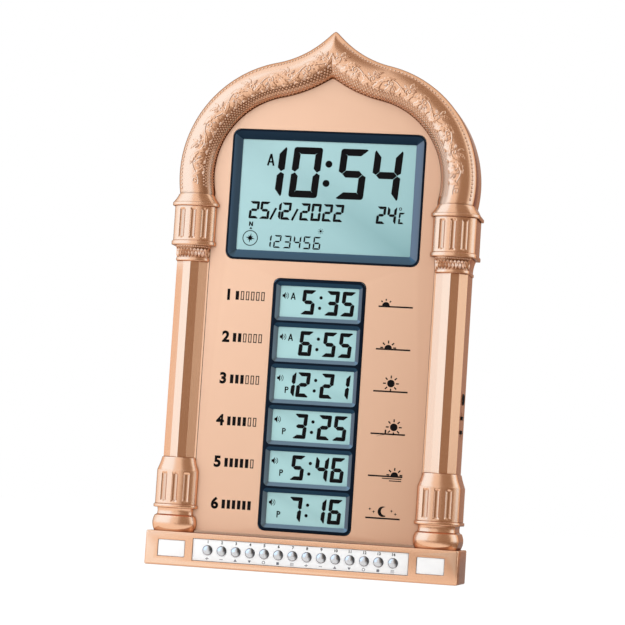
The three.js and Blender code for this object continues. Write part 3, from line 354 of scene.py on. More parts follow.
def makeGrainGroup():
    # fine noise over broad noise for the tone; the fine part alone is the relief
    group = bpy.data.node_groups.new("fineGrain", "ShaderNodeTree")
    newSockets(group, "INPUT", [("Scale", "Float", 900.0), ("Stretch", "Float", 1.0)])
    newSockets(group, "OUTPUT", [("Tone", "Float", None), ("Height", "Float", None)])
    given = group.nodes.new("NodeGroupInput").outputs
    place = makeNode(group, "ShaderNodeTexCoord")
    squeeze = makeNode(group, "ShaderNodeCombineXYZ", {0: 1.0, 1: 1.0, 2: given["Stretch"]})
    spot = makeNode(group, "ShaderNodeVectorMath", {0: place.outputs["Object"], 1: squeeze.outputs[0]},
                    operation="MULTIPLY")
    fine = makeNode(group, "ShaderNodeTexNoise", {"Vector": spot.outputs[0], "Scale": given["Scale"],
                                                  "Detail": 3.0, "Roughness": 0.6})
    broad = makeNode(group, "ShaderNodeTexNoise", {"Vector": spot.outputs[0], "Scale": 26.0, "Detail": 2.0})
    tone = mathNode(group, "ADD", mathNode(group, "MULTIPLY", fine.outputs[0], 0.5),
                    mathNode(group, "MULTIPLY", broad.outputs[0], 0.5))
    makeNode(group, "NodeGroupOutput", {"Tone": tone, "Height": fine.outputs[0]})
    return group


def makeCreaseGroup():
    # masks for painted shade where two surfaces meet closely, and for painted highlight on raised edges
    group = bpy.data.node_groups.new("creases", "ShaderNodeTree")
    newSockets(group, "INPUT", [("Distance", "Float", 0.002), ("Highlight", "Float", 0.5)])
    newSockets(group, "OUTPUT", [("Crease", "Float", None), ("Edge", "Float", None)])
    given = group.nodes.new("NodeGroupInput").outputs
    near = makeNode(group, "ShaderNodeAmbientOcclusion", {"Distance": given["Distance"]}, samples=12)
    closed = mathNode(group, "SUBTRACT", 0.9, near.outputs["AO"], True)
    shape = makeNode(group, "ShaderNodeNewGeometry")
    raised = mathNode(group, "SUBTRACT", shape.outputs["Pointiness"], 0.53, True)
    crease = mathNode(group, "MULTIPLY", closed, 1.6, True)
    edge = mathNode(group, "MULTIPLY", mathNode(group, "MULTIPLY", raised, 9.0, True), given["Highlight"])
    makeNode(group, "NodeGroupOutput", {"Crease": crease, "Edge": edge})
    return group


fineGrain = makeGrainGroup()
creases = makeCreaseGroup()


def mixTones(tree, share, first, second):
    # a tone is a colour or a socket; the second one shows where the share is 1
    tones = [tone if isinstance(tone, bpy.types.NodeSocket) else (*tone, 1) for tone in (first, second)]
    return makeNode(tree, "ShaderNodeMix", {0: share, 6: tones[0], 7: tones[1]}, data_type="RGBA").outputs[2]


def makeFinish(name, colour, roughness, metallic=0.0, deep=None, light=None, grain=900.0, stretch=1.0,
               bump=0.02, toneShift=0.06, creaseShift=0.6, distance=0.002, wear=0.4, coat=0.0,
               coatRoughness=0.1, soil=False, fade=None, rim=0.0, **extra):
    finish = bpy.data.materials.new(name)
    finish.use_nodes = True
    tree = finish.node_tree
    shader = tree.nodes["Principled BSDF"]
    grainNode = makeNode(tree, "ShaderNodeGroup", {"Scale": grain, "Stretch": stretch}, node_tree=fineGrain)
    creaseNode = makeNode(tree, "ShaderNodeGroup", {"Distance": distance, "Highlight": wear}, node_tree=creases)
    deep = deep or [c * 0.45 for c in colour]
    light = light or [min(1.0, c * 1.25 + 0.03) for c in colour]
    tone = mixTones(tree, grainNode.outputs["Tone"], [c * (1 - toneShift) for c in colour],
                    [min(1.0, c * (1 + toneShift)) for c in colour])
    if fade:
        # painted shade: a darker second tone that comes in evenly along one direction of the piece
        other, way, start = fade
        spot = makeNode(tree, "ShaderNodeTexCoord")
        along = makeNode(tree, "ShaderNodeVectorMath", {0: spot.outputs["Object"], 1: way},
                         operation="DOT_PRODUCT")
        tone = mixTones(tree, mathNode(tree, "ADD", along.outputs["Value"], start, True), tone, other)
    # painted shade: the deep tone where surfaces meet closely and, for finishes that ask for it, where the
    # recess attribute is set
    shadow = mathNode(tree, "MULTIPLY", creaseNode.outputs["Crease"], creaseShift, True)
    if soil:
        carved = makeNode(tree, "ShaderNodeAttribute", attribute_name="recess")
        shadow = mathNode(tree, "MAXIMUM", shadow, carved.outputs["Fac"])
    tone = mixTones(tree, shadow, tone, deep)
    if rim:
        # painted shade: deeper where the surface turns away from the view
        away = makeNode(tree, "ShaderNodeLayerWeight", {"Blend": 0.5})
        turned = mathNode(tree, "SUBTRACT", away.outputs["Facing"], 0.72, True)
        turned = mathNode(tree, "MULTIPLY", turned, 5.0, True)
        tone = mixTones(tree, mathNode(tree, "MULTIPLY", turned, rim), tone, deep)
    # painted highlight: the light tone on raised edges
    tone = mixTones(tree, creaseNode.outputs["Edge"], tone, light)
    uneven = mathNode(tree, "SUBTRACT", grainNode.outputs["Tone"], 0.5)
    uneven = mathNode(tree, "MULTIPLY", uneven, 0.06 if rim else 0.16)
    relief = makeNode(tree, "ShaderNodeBump", {"Height": grainNode.outputs["Height"], "Strength": bump,
                                               "Distance": 0.0002})
    tree.links.new(tone, shader.inputs["Base Color"])
    tree.links.new(mathNode(tree, "ADD", uneven, roughness, True), shader.inputs["Roughness"])
    tree.links.new(relief.outputs[0], shader.inputs["Normal"])
    values = {"Metallic": metallic, "Coat Weight": coat, "Coat Roughness": coatRoughness, **extra}
    for socket, value in values.items():
        shader.inputs[socket.replace("_", " ")].default_value = value
    return finish


# what several finishes share
# the light tone is a painted highlight on raised edges; rim gives painted shade where the surface turns away
roseMetal = dict(colour=(0.87, 0.50, 0.31), metallic=0.92, light=(0.98, 0.74, 0.56), bump=0.0,
                 toneShift=0.015, rim=0.8, Specular_Tint=(0.28, 0.16, 0.10, 1))
bezelMetal = dict(roughness=0.32, metallic=0.7, bump=0.004, wear=0.3, creaseShift=0.5,
                  deep=(0.02, 0.04, 0.07))
bezelMatt = dict(roughness=0.35, bump=0.004, wear=0.3, Specular_IOR_Level=0.12)
glass = dict(roughness=0.3, grain=2400.0, bump=0.004, toneShift=0.02, distance=0.003, coat=0.15,
             coatRoughness=0.08)

looks = {
    "roseShell": dict(roseMetal, roughness=0.25, deep=(0.20, 0.066, 0.024), coat=0.06, coatRoughness=0.16,
                      soil=True, creaseShift=0.32),
    # the beads, with strong painted shade between them
    "roseBead": dict(roseMetal, roughness=0.26, deep=(0.16, 0.05, 0.018), creaseShift=1.0, distance=0.0016),
    # the panel darkens to the right and downwards as painted shade
    "peachPanel": dict(colour=(0.87, 0.54, 0.365), roughness=0.42, metallic=0.15, grain=1500.0, bump=0.015,
                       creaseShift=0.35, distance=0.003, deep=(0.42, 0.20, 0.10),
                       fade=((0.60, 0.325, 0.20), (4.2, 0, -1.6), 0.80)),
    # one slate moulding in several tones: the slopes are painted lighter or darker by the way each faces the
    # light
    "slateBezel": dict(bezelMetal, colour=(0.055, 0.112, 0.18), light=(0.16, 0.25, 0.34)),
    "bezelFoot": dict(bezelMetal, colour=(0.043, 0.083, 0.118), light=(0.13, 0.20, 0.27)),
    "bezelLight": dict(bezelMetal, colour=(0.106, 0.119, 0.135), light=(0.24, 0.28, 0.33)),
    "bezelPale": dict(bezelMetal, colour=(0.13, 0.18, 0.215), light=(0.34, 0.42, 0.48),
                      deep=(0.04, 0.07, 0.10)),
    "bezelDusk": dict(bezelMatt, colour=(0.011, 0.043, 0.080), light=(0.03, 0.07, 0.11)),
    "bezelShade": dict(bezelMatt, colour=(0.005, 0.020, 0.040), light=(0.02, 0.05, 0.08)),
    "bezelRim": dict(colour=(0.003, 0.008, 0.017), roughness=0.35, bump=0.01, light=(0.01, 0.015, 0.02),
                     Specular_IOR_Level=0.05),
    # painted shade: darker towards the bottom right
    "lcdGlass": dict(glass, colour=(0.335, 0.535, 0.548), deep=(0.20, 0.36, 0.38),
                     fade=((0.16, 0.335, 0.355), (6.5, 0, -5.2), 1.55)),
    # painted shade: darker to the right
    "lcdPane": dict(glass, colour=(0.345, 0.565, 0.57), deep=(0.18, 0.33, 0.35),
                    fade=((0.30, 0.52, 0.53), (14.0, 0, 0), 0.45)),
    "lcdInk": dict(colour=(0.004, 0.0025, 0.003), roughness=0.5, grain=2400.0, bump=0.004, creaseShift=0.0,
                   light=(0.01, 0.01, 0.01), Specular_IOR_Level=0.03),
    "print": dict(colour=(0.004, 0.003, 0.003), roughness=0.5, grain=2000.0, bump=0.01, creaseShift=0.0,
                  light=(0.012, 0.01, 0.01), Specular_IOR_Level=0.05),
    "greyPrint": dict(colour=(0.09, 0.09, 0.11), roughness=0.55, grain=2000.0, bump=0.01, creaseShift=0.0),
    "whiteSheet": dict(colour=(0.94, 0.94, 0.94), roughness=0.4, grain=1200.0, bump=0.008, toneShift=0.015,
                       deep=(0.55, 0.50, 0.47), coat=0.1),
    "chromeCap": dict(colour=(0.66, 0.66, 0.67), roughness=0.2, metallic=0.65, bump=0.004, toneShift=0.02,
                      deep=(0.035, 0.035, 0.04), creaseShift=0.4, soil=True),
    "diffuser": dict(colour=(0.88, 0.91, 0.90), roughness=0.45, toneShift=0.02, Subsurface_Weight=0.1),
    "circuitBoard": dict(colour=(0.03, 0.16, 0.06), roughness=0.38, grain=500.0, bump=0.05,
                         light=(0.30, 0.42, 0.20), coat=0.3),
    "roseCover": dict(colour=(0.70, 0.39, 0.245), roughness=0.42, metallic=0.35, grain=700.0, bump=0.09,
                      toneShift=0.05, deep=(0.25, 0.11, 0.06)),
    "blackPlastic": dict(colour=(0.014, 0.014, 0.015), roughness=0.5, grain=800.0, bump=0.06,
                         light=(0.07, 0.07, 0.07), Specular_IOR_Level=0.12),
    "steel": dict(colour=(0.58, 0.585, 0.60), roughness=0.27, metallic=1.0, grain=350.0, stretch=0.15,
                  bump=0.03, toneShift=0.1, deep=(0.16, 0.15, 0.14)),
    "ferrite": dict(colour=(0.045, 0.045, 0.05), roughness=0.6, metallic=0.3, grain=600.0, bump=0.15,
                    toneShift=0.2),
    "paperCone": dict(colour=(0.02, 0.02, 0.021), roughness=0.85, grain=450.0, bump=0.25, toneShift=0.3),
    "cellWrap": dict(colour=(0.035, 0.10, 0.26), roughness=0.3, metallic=0.2, grain=300.0, coat=0.5),
}
finishes = {name: makeFinish(name, **look) for name, look in looks.items()}
print("finishes")


def dress(finish, *nodes):
    for node in nodes:
        for spot in frame["nodes"][node].material_slots:
            spot.material = finishes[finish]


def settle(piece, body, slotName, *nodes):
    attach(piece, body)
    if nodes:
        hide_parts(*nodes)
    return piece


def paint(piece, finish):
    piece.data.materials.clear()
    piece.data.materials.append(finishes[finish])
    return piece


# Camera, floor and light

# angles in degrees, the place in metres
camera = {"focal": 138.73, "azimuth": 10.8766, "elevation": -4.2758, "roll": 3.7359,
          "place": (0.27183, -1.44307, 0.04919)}
stage = {"floorSize": 6.0, "floorTone": 0.75, "whiteShare": 0.88, "white": 1.1, "fill": 0.62}
lamps = [
    # name, direction round the clock and up in degrees, distance, size across and up, brightness
    ("leftLamp", -50, 20, 0.95, 0.9, 1.1, 1.75),
    ("topLamp", -40, 58, 1.15, 1.0, 0.8, 1.5),
    ("rightLamp", 80, 14, 1.45, 0.9, 1.5, 1.2),
    ("rearLamp", -150, 30, 1.7, 1.4, 1.2, 1.3),
]
sheets = [
    # seen in polished surfaces alone: name, from and to in degrees round the clock, distance at both edges,
    # height at both edges, colour; distances and heights are metres
    ("nearMat", -22, 2, 0.13, 0.5, 0.002, 0.002, (0.27, 0.18, 0.12)),
    ("mat", 2, 125, 0.13, 1.25, 0.002, 0.002, (0.27, 0.18, 0.12)),
    ("card", 3, 58, 1.25, 1.25, 0.002, 2.3, (0.33, 0.235, 0.165)),
    ("lid", 3, 58, 1.25, 0.5, 2.3, 2.3, (0.30, 0.21, 0.15)),
    ("wing", 58, 73, 1.25, 1.25, 0.002, 1.5, (1.06, 1.13, 1.14)),
    ("rear", 138, 200, 1.4, 1.4, 0.002, 0.9, (1.45, 1.20, 1.02)),
    ("leftGlow", -80.5, -24, 0.98, 0.98, 0.002, 1.25, (1.13, 1.62, 2.25)),
    ("rightGlow", 73, 106, 1.3, 1.3, 0.002, 1.1, (1.12, 1.52, 2.0)),
    ("skyGlow", -80, -8, 0.98, 0.4, 1.25, 1.9, (1.06, 1.26, 1.5)),
    ("leftGap", -94, -80.5, 1.5, 1.5, 0.002, 1.1, (1.10, 1.45, 1.90)),
    ("leftRear", -126, -94, 1.4, 1.4, 0.002, 1.2, (1.08, 1.32, 1.62)),
    ("leftCard", -95, -80.3, 0.142, 0.142, 0.064, 0.188, (0.96, 0.88, 0.82)),
    ("left", -146, -126, 1.5, 1.5, 0.002, 1.1, (0.90, 0.92, 0.98)),
    ("leftShade", -182, -146, 1.5, 1.5, 0.002, 1.1, (0.30, 0.20, 0.14)),
]


def towards(azimuth, elevation, distance):
    az, el = math.radians(azimuth), math.radians(elevation)
    return Vector((math.sin(az) * math.cos(el), -math.cos(az) * math.cos(el), math.sin(el))) * distance


def makeCamera():
    data = bpy.data.cameras.new("camera")
    data.lens = camera["focal"]
    data.sensor_width = 36
    data.clip_end = 50
    view = link(bpy.data.objects.new("camera", data))
    back = towards(camera["azimuth"], camera["elevation"], 1)
    right = Vector((0, 0, 1)).cross(back).normalized()
    up = back.cross(right)
    roll = math.radians(camera["roll"])
    across = math.cos(roll) * right + math.sin(roll) * up
    above = -math.sin(roll) * right + math.cos(roll) * up
    turned = Matrix((across, above, back)).transposed().to_4x4()
    view.matrix_world = Matrix.Translation(camera["place"]) @ turned
    bpy.context.scene.camera = view


def emptyTree(owner):
    owner.use_nodes = True
    owner.node_tree.nodes.clear()
    return owner.node_tree


def seenRay(tree):
    # 1 for what the camera, a mirror or clear glass sees
    path = makeNode(tree, "ShaderNodeLightPath")
    seen = mathNode(tree, "ADD", path.outputs["Is Camera Ray"], path.outputs["Is Glossy Ray"])
    return mathNode(tree, "ADD", seen, path.outputs["Is Transmission Ray"], True)


def makeStage():
    world = bpy.data.worlds.new("studio")
    bpy.context.scene.world = world
    tree = emptyTree(world)
    fill = makeNode(tree, "ShaderNodeBackground", {"Color": (1, 1, 1, 1), "Strength": stage["fill"]})
    white = makeNode(tree, "ShaderNodeBackground", {"Color": (1, 1, 1, 1), "Strength": 1.0})
    both = makeNode(tree, "ShaderNodeMixShader", {0: seenRay(tree), 1: fill.outputs[0], 2: white.outputs[0]})
    makeNode(tree, "ShaderNodeOutputWorld", {"Surface": both.outputs[0]})
    half, tone = stage["floorSize"] / 2, stage["floorTone"]
    mesh = bpy.data.meshes.new("floor")
    corners = [(-half, -half, 0), (half, -half, 0), (half, half, 0), (-half, half, 0)]
    mesh.from_pydata(corners, [], [(0, 1, 2, 3)])
    pale = bpy.data.materials.new("paleFloor")
    tree = emptyTree(pale)
    matt = makeNode(tree, "ShaderNodeBsdfDiffuse", {"Color": (tone, tone, tone, 1)})
    glow = makeNode(tree, "ShaderNodeEmission", {"Color": (1, 1, 1, 1), "Strength": stage["white"]})
    share = mathNode(tree, "MULTIPLY", seenRay(tree), stage["whiteShare"])
    mixed = makeNode(tree, "ShaderNodeMixShader", {0: share, 1: matt.outputs[0], 2: glow.outputs[0]})
    makeNode(tree, "ShaderNodeOutputMaterial", {"Surface": mixed.outputs[0]})
    mesh.materials.append(pale)
    link(bpy.data.objects.new("floor", mesh))


def makeLamps():
    middle = Vector((0, 0, 0.16))
    for name, azimuth, elevation, distance, across, up, brightness in lamps:
        data = bpy.data.lights.new(name, "AREA")
        data.shape = "RECTANGLE"
        data.size, data.size_y = across, up
        data.energy = brightness * math.pi * across * up
        lamp = link(bpy.data.objects.new(name, data))
        lamp.visible_glossy = False
        lamp.location = middle + towards(azimuth, elevation, distance)
        lamp.rotation_euler = (middle - lamp.location).to_track_quat("-Z", "Y").to_euler()


def makeSheets():
    steps = 8
    for name, first, last, near, far, low, high, colour in sheets:
        turns = np.linspace(first, last, steps + 1)
        points = [tuple(towards(turn, 0, reach) + Vector((0, 0, z)))
                  for reach, z in ((near, low), (far, high)) for turn in turns]
        mesh = bpy.data.meshes.new(name)
        mesh.from_pydata(points, [], [(i, i + 1, i + steps + 2, i + steps + 1) for i in range(steps)])
        shine = bpy.data.materials.new(name + "Sheet")
        tree = emptyTree(shine)
        glow = makeNode(tree, "ShaderNodeEmission", {"Color": (*colour, 1), "Strength": 1.0})
        makeNode(tree, "ShaderNodeOutputMaterial", {"Surface": glow.outputs[0]})
        mesh.materials.append(shine)
        sheet = link(bpy.data.objects.new(name, mesh))
        for ray in ("camera", "diffuse", "shadow", "transmission"):
            setattr(sheet, "visible_" + ray, False)


makeCamera()
makeStage()
makeLamps()
makeSheets()
bpy.context.scene.view_settings.view_transform = "Standard"
print("camera, floor and light")


# Front shell: plinth, two columns and the ogee arch as one moulding

arch = {
    "columnX": 80.3, "foot": 226.8, "spread": 20.3, "middleZ": 240.54, "radius": 61.1, "turn": 78.0,
    "apexZ": 316.9, "tipRound": 1.1, "ease": 1.5, "halfWidth": 10.7, "rise": 7.6, "face": 9.0, "back": 32.0,
    "wall": 2.2, "arcSteps": 96, "ogeeSteps": 30, "bulgeSteps": 40,
}
joint = {"front": 8.97, "ledge": 11.3, "ledgeBack": 13.3, "back": 31.97}  # depths round the panel's edge
screwPlaces = [(side * x, z) for x, z in ((80.3, 45), (80.3, 150), (63.5, 283.74)) for side in (-1, 1)]


def archCurve():
    # the arc over the column meets the hollow arc of the tip where both point the same way
    turn = math.radians(arch["turn"])
    way = np.array([math.cos(turn), math.sin(turn)])
    meeting = arch["radius"] * way + (arch["spread"], arch["middleZ"])
    reach = meeting - (0, arch["apexZ"])
    ogeeRadius = -(reach @ reach) / (2 * reach @ way)
    start = -math.atan((arch["middleZ"] - arch["foot"]) / (arch["columnX"] - arch["spread"]))
    return start, turn, ogeeRadius, meeting + ogeeRadius * way


def archLine(offset):
    # from the left foot over the tip to the right foot, at a distance outside the middle line
    start, turn, ogeeRadius, ogee = archCurve()
    angles = start + (turn - start) * np.linspace(0, 1, arch["arcSteps"] + 1)
    radius, hollow = arch["radius"] + offset, ogeeRadius - offset
    half = [(arch["spread"] + radius * math.cos(a), arch["middleZ"] + radius * math.sin(a)) for a in angles]
    begin = ogee[0] - hollow * math.cos(turn)
    for i in range(1, arch["ogeeSteps"] + 1):
        x = begin * (1 - i / arch["ogeeSteps"]) ** arch["ease"]
        rounded = math.hypot(x, arch["tipRound"] * (1 - x / begin))
        half.append((x, ogee[1] - math.sqrt(hollow ** 2 - (ogee[0] - rounded) ** 2)))
    return np.array([(-x, z) for x, z in half] + half[-2::-1])


def bulge(halfWidth, rise, steps):
    turns = [math.pi * i / steps for i in range(steps + 1)]
    return [(halfWidth * math.cos(t), arch["face"] - rise * math.sin(t)) for t in turns]


def archShape():
    # the section runs round the outside, over the front, along the panel's lip and back through the inside
    half, wall, lip = arch["halfWidth"], arch["wall"], joint["front"]
    inner, ledge = half - wall, -half - 2.5
    front = bulge(half, arch["rise"], arch["bulgeSteps"])
    section = [(half, arch["back"]), (half, arch["face"] + 11), *front[:-2], (-half + 0.02, 8.4),
               (-half - 0.5, 8.62), (-half - 0.6, lip), (-half, lip), (-half, joint["ledge"]),
               (ledge, joint["ledge"]), (ledge, joint["ledgeBack"]), (-inner, joint["ledgeBack"]),
               *bulge(inner, arch["rise"] - wall, 12)[::-1], (inner, arch["back"])]
    lines = [archLine(offset) for offset, depth in section]
    rings = [[(line[s][0], depth, line[s][1]) for line, (offset, depth) in zip(lines, section)]
             for s in range(len(lines[0]))]
    foot = lambda ring: [(x, y, min(p[2] for p in ring) - 0.5) for x, y, z in ring]
    return loft([foot(rings[0]), *rings, foot(rings[-1])])


column = {
    # heights of the mouldings from the plinth up, with widths and how far they stand out
    "torus": (20.6, 30.6, 27.6, 8.2), "cove": (34.8, 22.4, 5.6), "baseRing": (37.0, 27.6, 7.9),
    "baseBlock": (57.8, 26.0, 6.9), "shoulder": 65.5, "shaft": (185.9, 19.6, 5.2),
    "neckRing": (188.1, 20.8, 6.0), "neck": (195.6, 22.4, 6.8), "capRing": (198.3, 27.9, 8.0),
    "capBlock": (219.8, 26.3, 6.9), "flareRing": (222.1, 29.4, 8.4), "flare": (226.8, 21.4, 7.6),
    "arris": 3.6, "flutes": (0.0, 6.9), "fluteWidth": 3.7, "fluteDeep": 1.1, "fluteInset": 1.3,
    "fluteEnd": 1.2, "innerX": -9.8, "hollow": 7.6, "steps": 96,
}


def columnRows():
    # height, width, how far it stands out, and how faceted it is (0 round, 1 four flat faces)
    rows, c = [], column
    add = lambda z, width, rise, faceted=0.0: rows.append((z, width, rise, faceted))

    def between(low, high, start, end, outs, ups):
        # rows whose width and rise go from one pair to another while they climb
        for up, out in zip(ups, outs):
            width, rise = [a + (b - a) * out for a, b in zip(start, end)]
            add(low + (high - low) * up, width, rise)

    def band(low, high, width, rise, soft=0.6):
        for t in quarterTurns(4):
            out = soft * (1 - math.sin(t))
            add(low + soft * (1 - math.cos(t)), width - 2 * out, rise - out)
        for t in quarterTurns(4):
            out = soft * (1 - math.cos(t))
            add(high - soft * (1 - math.sin(t)), width - 2 * out, rise - out)

    def block(low, high, width, rise):
        # close rows where the flutes begin and end
        inset, soft = c["fluteInset"], c["fluteEnd"]
        ends = (inset - 0.3, inset, inset + soft / 2, inset + soft, inset + soft + 0.3)
        heights = [low + 0.2, *(low + end for end in ends)]
        heights += list(np.linspace(low + inset + soft + 1.5, high - inset - soft - 1.5, 4))
        heights += [*(high - end for end in ends[::-1]), high - 0.2]
        add(low, width - 0.3, rise - 0.15)
        for z in heights:
            add(z, width, rise)
        add(high, width - 0.3, rise - 0.15)

    low, torusTop, *torus = c["torus"]
    coveTop, *cove = c["cove"]
    add(low - 1.1, *cove)
    add(low, cove[0] + (torus[0] - cove[0]) * 0.45, cove[1] + (torus[1] - cove[1]) * 0.45)
    ups = [i / 15 for i in range(1, 15)]
    outs = [math.sin(math.radians(26 + 128 * up ** 0.98)) ** 0.9 for up in ups]
    between(low, torusTop, cove, torus, outs, ups)
    add(torusTop, cove[0] + 0.8, cove[1] + 0.4)
    for i in range(6):
        t = i / 5
        pull = 0.5 * math.sin(math.pi * t)
        add(torusTop + 0.2 + (coveTop - torusTop - 0.4) * t, cove[0] - pull + 0.2, cove[1] - pull * 0.6 + 0.1)
    band(coveTop, *c["baseRing"])
    block(c["baseRing"][0], *c["baseBlock"])
    shaftTop, shaftWidth, shaftRise = c["shaft"]
    blockTop, blockWidth, blockRise = c["baseBlock"]
    for i in range(1, 6):
        t = i / 5
        width = blockWidth + (shaftWidth + 1.2 - blockWidth) * t
        add(blockTop + (c["shoulder"] - blockTop) * t, width - 0.5 * math.sin(math.pi * t),
            blockRise + (shaftRise + 0.6 - blockRise) * t)
    add(c["shoulder"] + 0.15, shaftWidth + 0.3, shaftRise + 0.1, 0.5)
    for z in np.linspace(c["shoulder"] + 0.4, shaftTop - 0.3, 6):
        add(z, shaftWidth, shaftRise, 1.0)
    band(shaftTop, *c["neckRing"])
    neckTop, *neck = c["neck"]
    ups = [i / 8 for i in range(9)]
    between(c["neckRing"][0], neckTop, (shaftWidth, shaftRise), neck, [up ** 2.1 for up in ups], ups)
    band(neckTop, *c["capRing"])
    block(c["capRing"][0], *c["capBlock"])
    band(c["capBlock"][0], *c["flareRing"])
    ringTop, ringWidth, ringRise = c["flareRing"]
    flareTop, flareWidth, flareRise = c["flare"]
    # nearly straight, with a crisp top edge round the arch
    between(ringTop, flareTop, (flareWidth + 1.0, flareRise + 0.5), (ringWidth - 0.8, ringRise - 0.4),
            [1 - up - 0.09 * math.sin(math.pi * up) for up in ups], ups)
    add(flareTop + 0.25, flareWidth + 0.7, flareRise + 0.35)
    add(flareTop + 0.3, flareWidth - 0.6, flareRise - 0.3)
    return rows


def fluteDepth(x, z):
    # how deep a flute is at a place across the column and up it
    c = column
    for lower, upper in (("baseRing", "baseBlock"), ("capRing", "capBlock")):
        low, high = c[lower][0], c[upper][0]
        if low <= z <= high:
            across = min(1.0, min(abs(abs(x) - middle) for middle in c["flutes"]) / (c["fluteWidth"] / 2))
            inside = min(z - low - c["fluteInset"], high - c["fluteInset"] - z)
            end = max(0.0, min(1.0, inside / c["fluteEnd"]))
            return c["fluteDeep"] * (1 - across ** 2) ** 0.8 * (0.5 - 0.5 * math.cos(math.pi * end))
    return 0.0


def columnSection(width, rise, faceted, z):
    # points from right to left over the front, with extra ones at the flutes and the facets' edges
    half = width / 2
    spots = (-1.08, -1, -0.9, -0.7, -0.35, 0.02, 0.35, 0.7, 0.9, 1, 1.08)
    marks = sorted({round(way * (middle + k * column["fluteWidth"] / 2), 3)
                    for way in (-1, 1) for middle in column["flutes"] for k in spots})
    marks += [edge * half + d for edge in (0.5, -0.5, 0) for d in (-0.25, 0, 0.25)] + [4.9]
    turns = sorted([math.pi * i / column["steps"] for i in range(column["steps"] + 1)]
                   + [math.acos(max(-0.999, min(0.999, m / half))) for m in marks])
    arris = column["arris"]
    points = []
    for t in turns:
        x = half * math.cos(t)
        share = abs(x) / half
        flat = rise + (arris - rise) * share / 0.5 if share < 0.5 else arris * (1 - share) / 0.5
        out = rise * math.sin(t) * (1 - faceted) + flat * faceted
        out -= fluteDepth(x, z) * (math.sin(t) if faceted == 0 else 0)
        points.append((x, arch["face"] - out))
    return points


def columnShape(side):
    inner, hollow = column["innerX"], column["hollow"]
    lip = inner - 0.75  # closes the joint to the panel
    back = [(lip, 8.7), (lip, joint["front"]), (inner, joint["front"]), (inner, joint["ledgeBack"]),
            (-hollow, joint["ledgeBack"]), (-hollow, 10.1), (-hollow / 2, 7.6), (hollow / 2, 7.6),
            (hollow, 10.1), (hollow, joint["back"])]
    rings = []
    for z, width, rise, faceted in columnRows():
        front = [(x, min(y, 8.7) if x < 0 else y) for x, y in columnSection(width, rise, faceted, z)]
        outline = [(width / 2, joint["back"]), (width / 2, 20.0), *front, *back]
        rings.append([(side * (arch["columnX"] + x), y, z) for x, y in outline])
    return loft(rings)


plinth = {
    "width": 190.8, "height": 20.6, "depth": 40.0, "edge": 0.9, "stripHalf": 66.0, "strip": (3.95, 17.35),
    "stripDeep": 2.7,
    "plaque": {"x": 79.15, "z": 10.5, "width": 16.8, "height": 10.2, "deep": 1.5},
}


def plinthShape():
    p, edge = plinth, plinth["edge"]
    rows = [(edge * (1 - math.sin(t)), edge * (1 - math.cos(t))) for t in quarterTurns(5)]
    rows += [(0, 14), (0, 28), (0, p["depth"])]
    return slabShape(p["width"], p["height"], edge + 0.001, 0, p["height"] / 2, rows, 5)


def windowMouth(halfX, low, high, deep, soft=0.45):
    # a straight opening whose front edge is rounded over; the first ring stands clear of the face
    clear = 0.3
    rows = [(-soft - clear, -clear)]
    rows += [(-soft * (1 - math.sin(t)), soft * (1 - math.cos(t))) for t in quarterTurns(4)[1:]]
    rows.append((0, deep))
    return slabShape(2 * halfX, high - low, 0.5, 0, (low + high) / 2, rows, 4, 1)


def buildShellBody():
    plinthPiece = meshPiece("plinthPart", *plinthShape())
    plaque = plinth["plaque"]
    halfX, halfZ = plaque["width"] / 2, plaque["height"] / 2
    points, faces = windowMouth(halfX, plaque["z"] - halfZ, plaque["z"] + halfZ, plaque["deep"] + 0.1, 0.35)
    pockets = [(points + (way * plaque["x"], 0, 0), faces) for way in (-1, 1)]
    cut(plinthPiece, [
        boxShape(-93.2, 93.2, 2.2, 41, 2.2, 18.4), boxShape(-65.8, 65.8, 13.3, 41, 17.9, 21),
        boxShape(-93.2, 93.2, 37.5, 41, 17.9, 21),
        windowMouth(plinth["stripHalf"], *plinth["strip"], plinth["stripDeep"]), *pockets])
    left = meshPiece("columnLeft", *columnShape(-1))
    right = meshPiece("columnRight", *columnShape(1))
    cut(right, [crossShape([(3.5, 87), (3.5, 90.0), (3.9, 90.4), (3.9, 91)], 21.0, 111.0),
                boxShape(87, 91, 16.5, 19.1, 98.2, 103.0), boxShape(87, 91, 16.5, 19.1, 87.7, 92.5)])
    top = meshPiece("archPart", *archShape())
    ledges = [(-70.5, -65.8), (65.8, 70.5)]
    inside = [boxShape(x0, x1, joint["ledge"], joint["ledgeBack"], 19.5, 231) for x0, x1 in ledges]
    # the lip under the panel takes the deep tone as painted shade
    inside.append(boxShape(-70.3, 70.3, 8.3, joint["front"], 20.4, 21.9))  # closes the joint under the panel
    for x, z in screwPlaces:
        front = 4 if z > arch["foot"] else 7.6
        boss = [(0, front), (3.2, front), (3.2, 31.9), (1.3, 31.9), (1.3, 24), (0, 24)]
        inside.append(turnedShape(boss, x, z, 20))
    return [plinthPiece, left, right, top, meshPiece("insidePart", *joinShapes(inside))]


# Carving: laid out flat, along the arch and across it, then laid on the moulding

carving = {
    "length": 264.0, "beadPitch": 2.1, "beadRadius": 0.68, "beadHeight": 0.36,
    "beadRows": (9.2, -13.2, -11.8, -10.4, -9.0, -7.6, -6.2), "border": -5.6, "borderPitch": 7.2,
    "borderLeaf": (4.4, 7.4, 0.32), "wave": 24.0, "swing": 2.2, "middle": -0.4, "stem": 0.58, "sunk": 0.38,
    "scroll": 2.0, "turns": 1.2, "leaf": (2.0, 4.1, 0.34), "bigLeaf": (3.8, 8.8, 0.42), "lobes": 4,
    "bend": 3.4, "seed": 7,
}


def beadShape(radius, height, sides=8):
    turns = [2 * math.pi * i / sides for i in range(sides)]
    rings = [[(radius * math.cos(a) * math.cos(t), -height * math.sin(a), radius * math.cos(a) * math.sin(t))
              for t in turns] for a in (0, math.radians(35), math.radians(68))]
    base = [[(x, 0.4, z) for x, y, z in rings[0]]]
    return loft(base + rings)


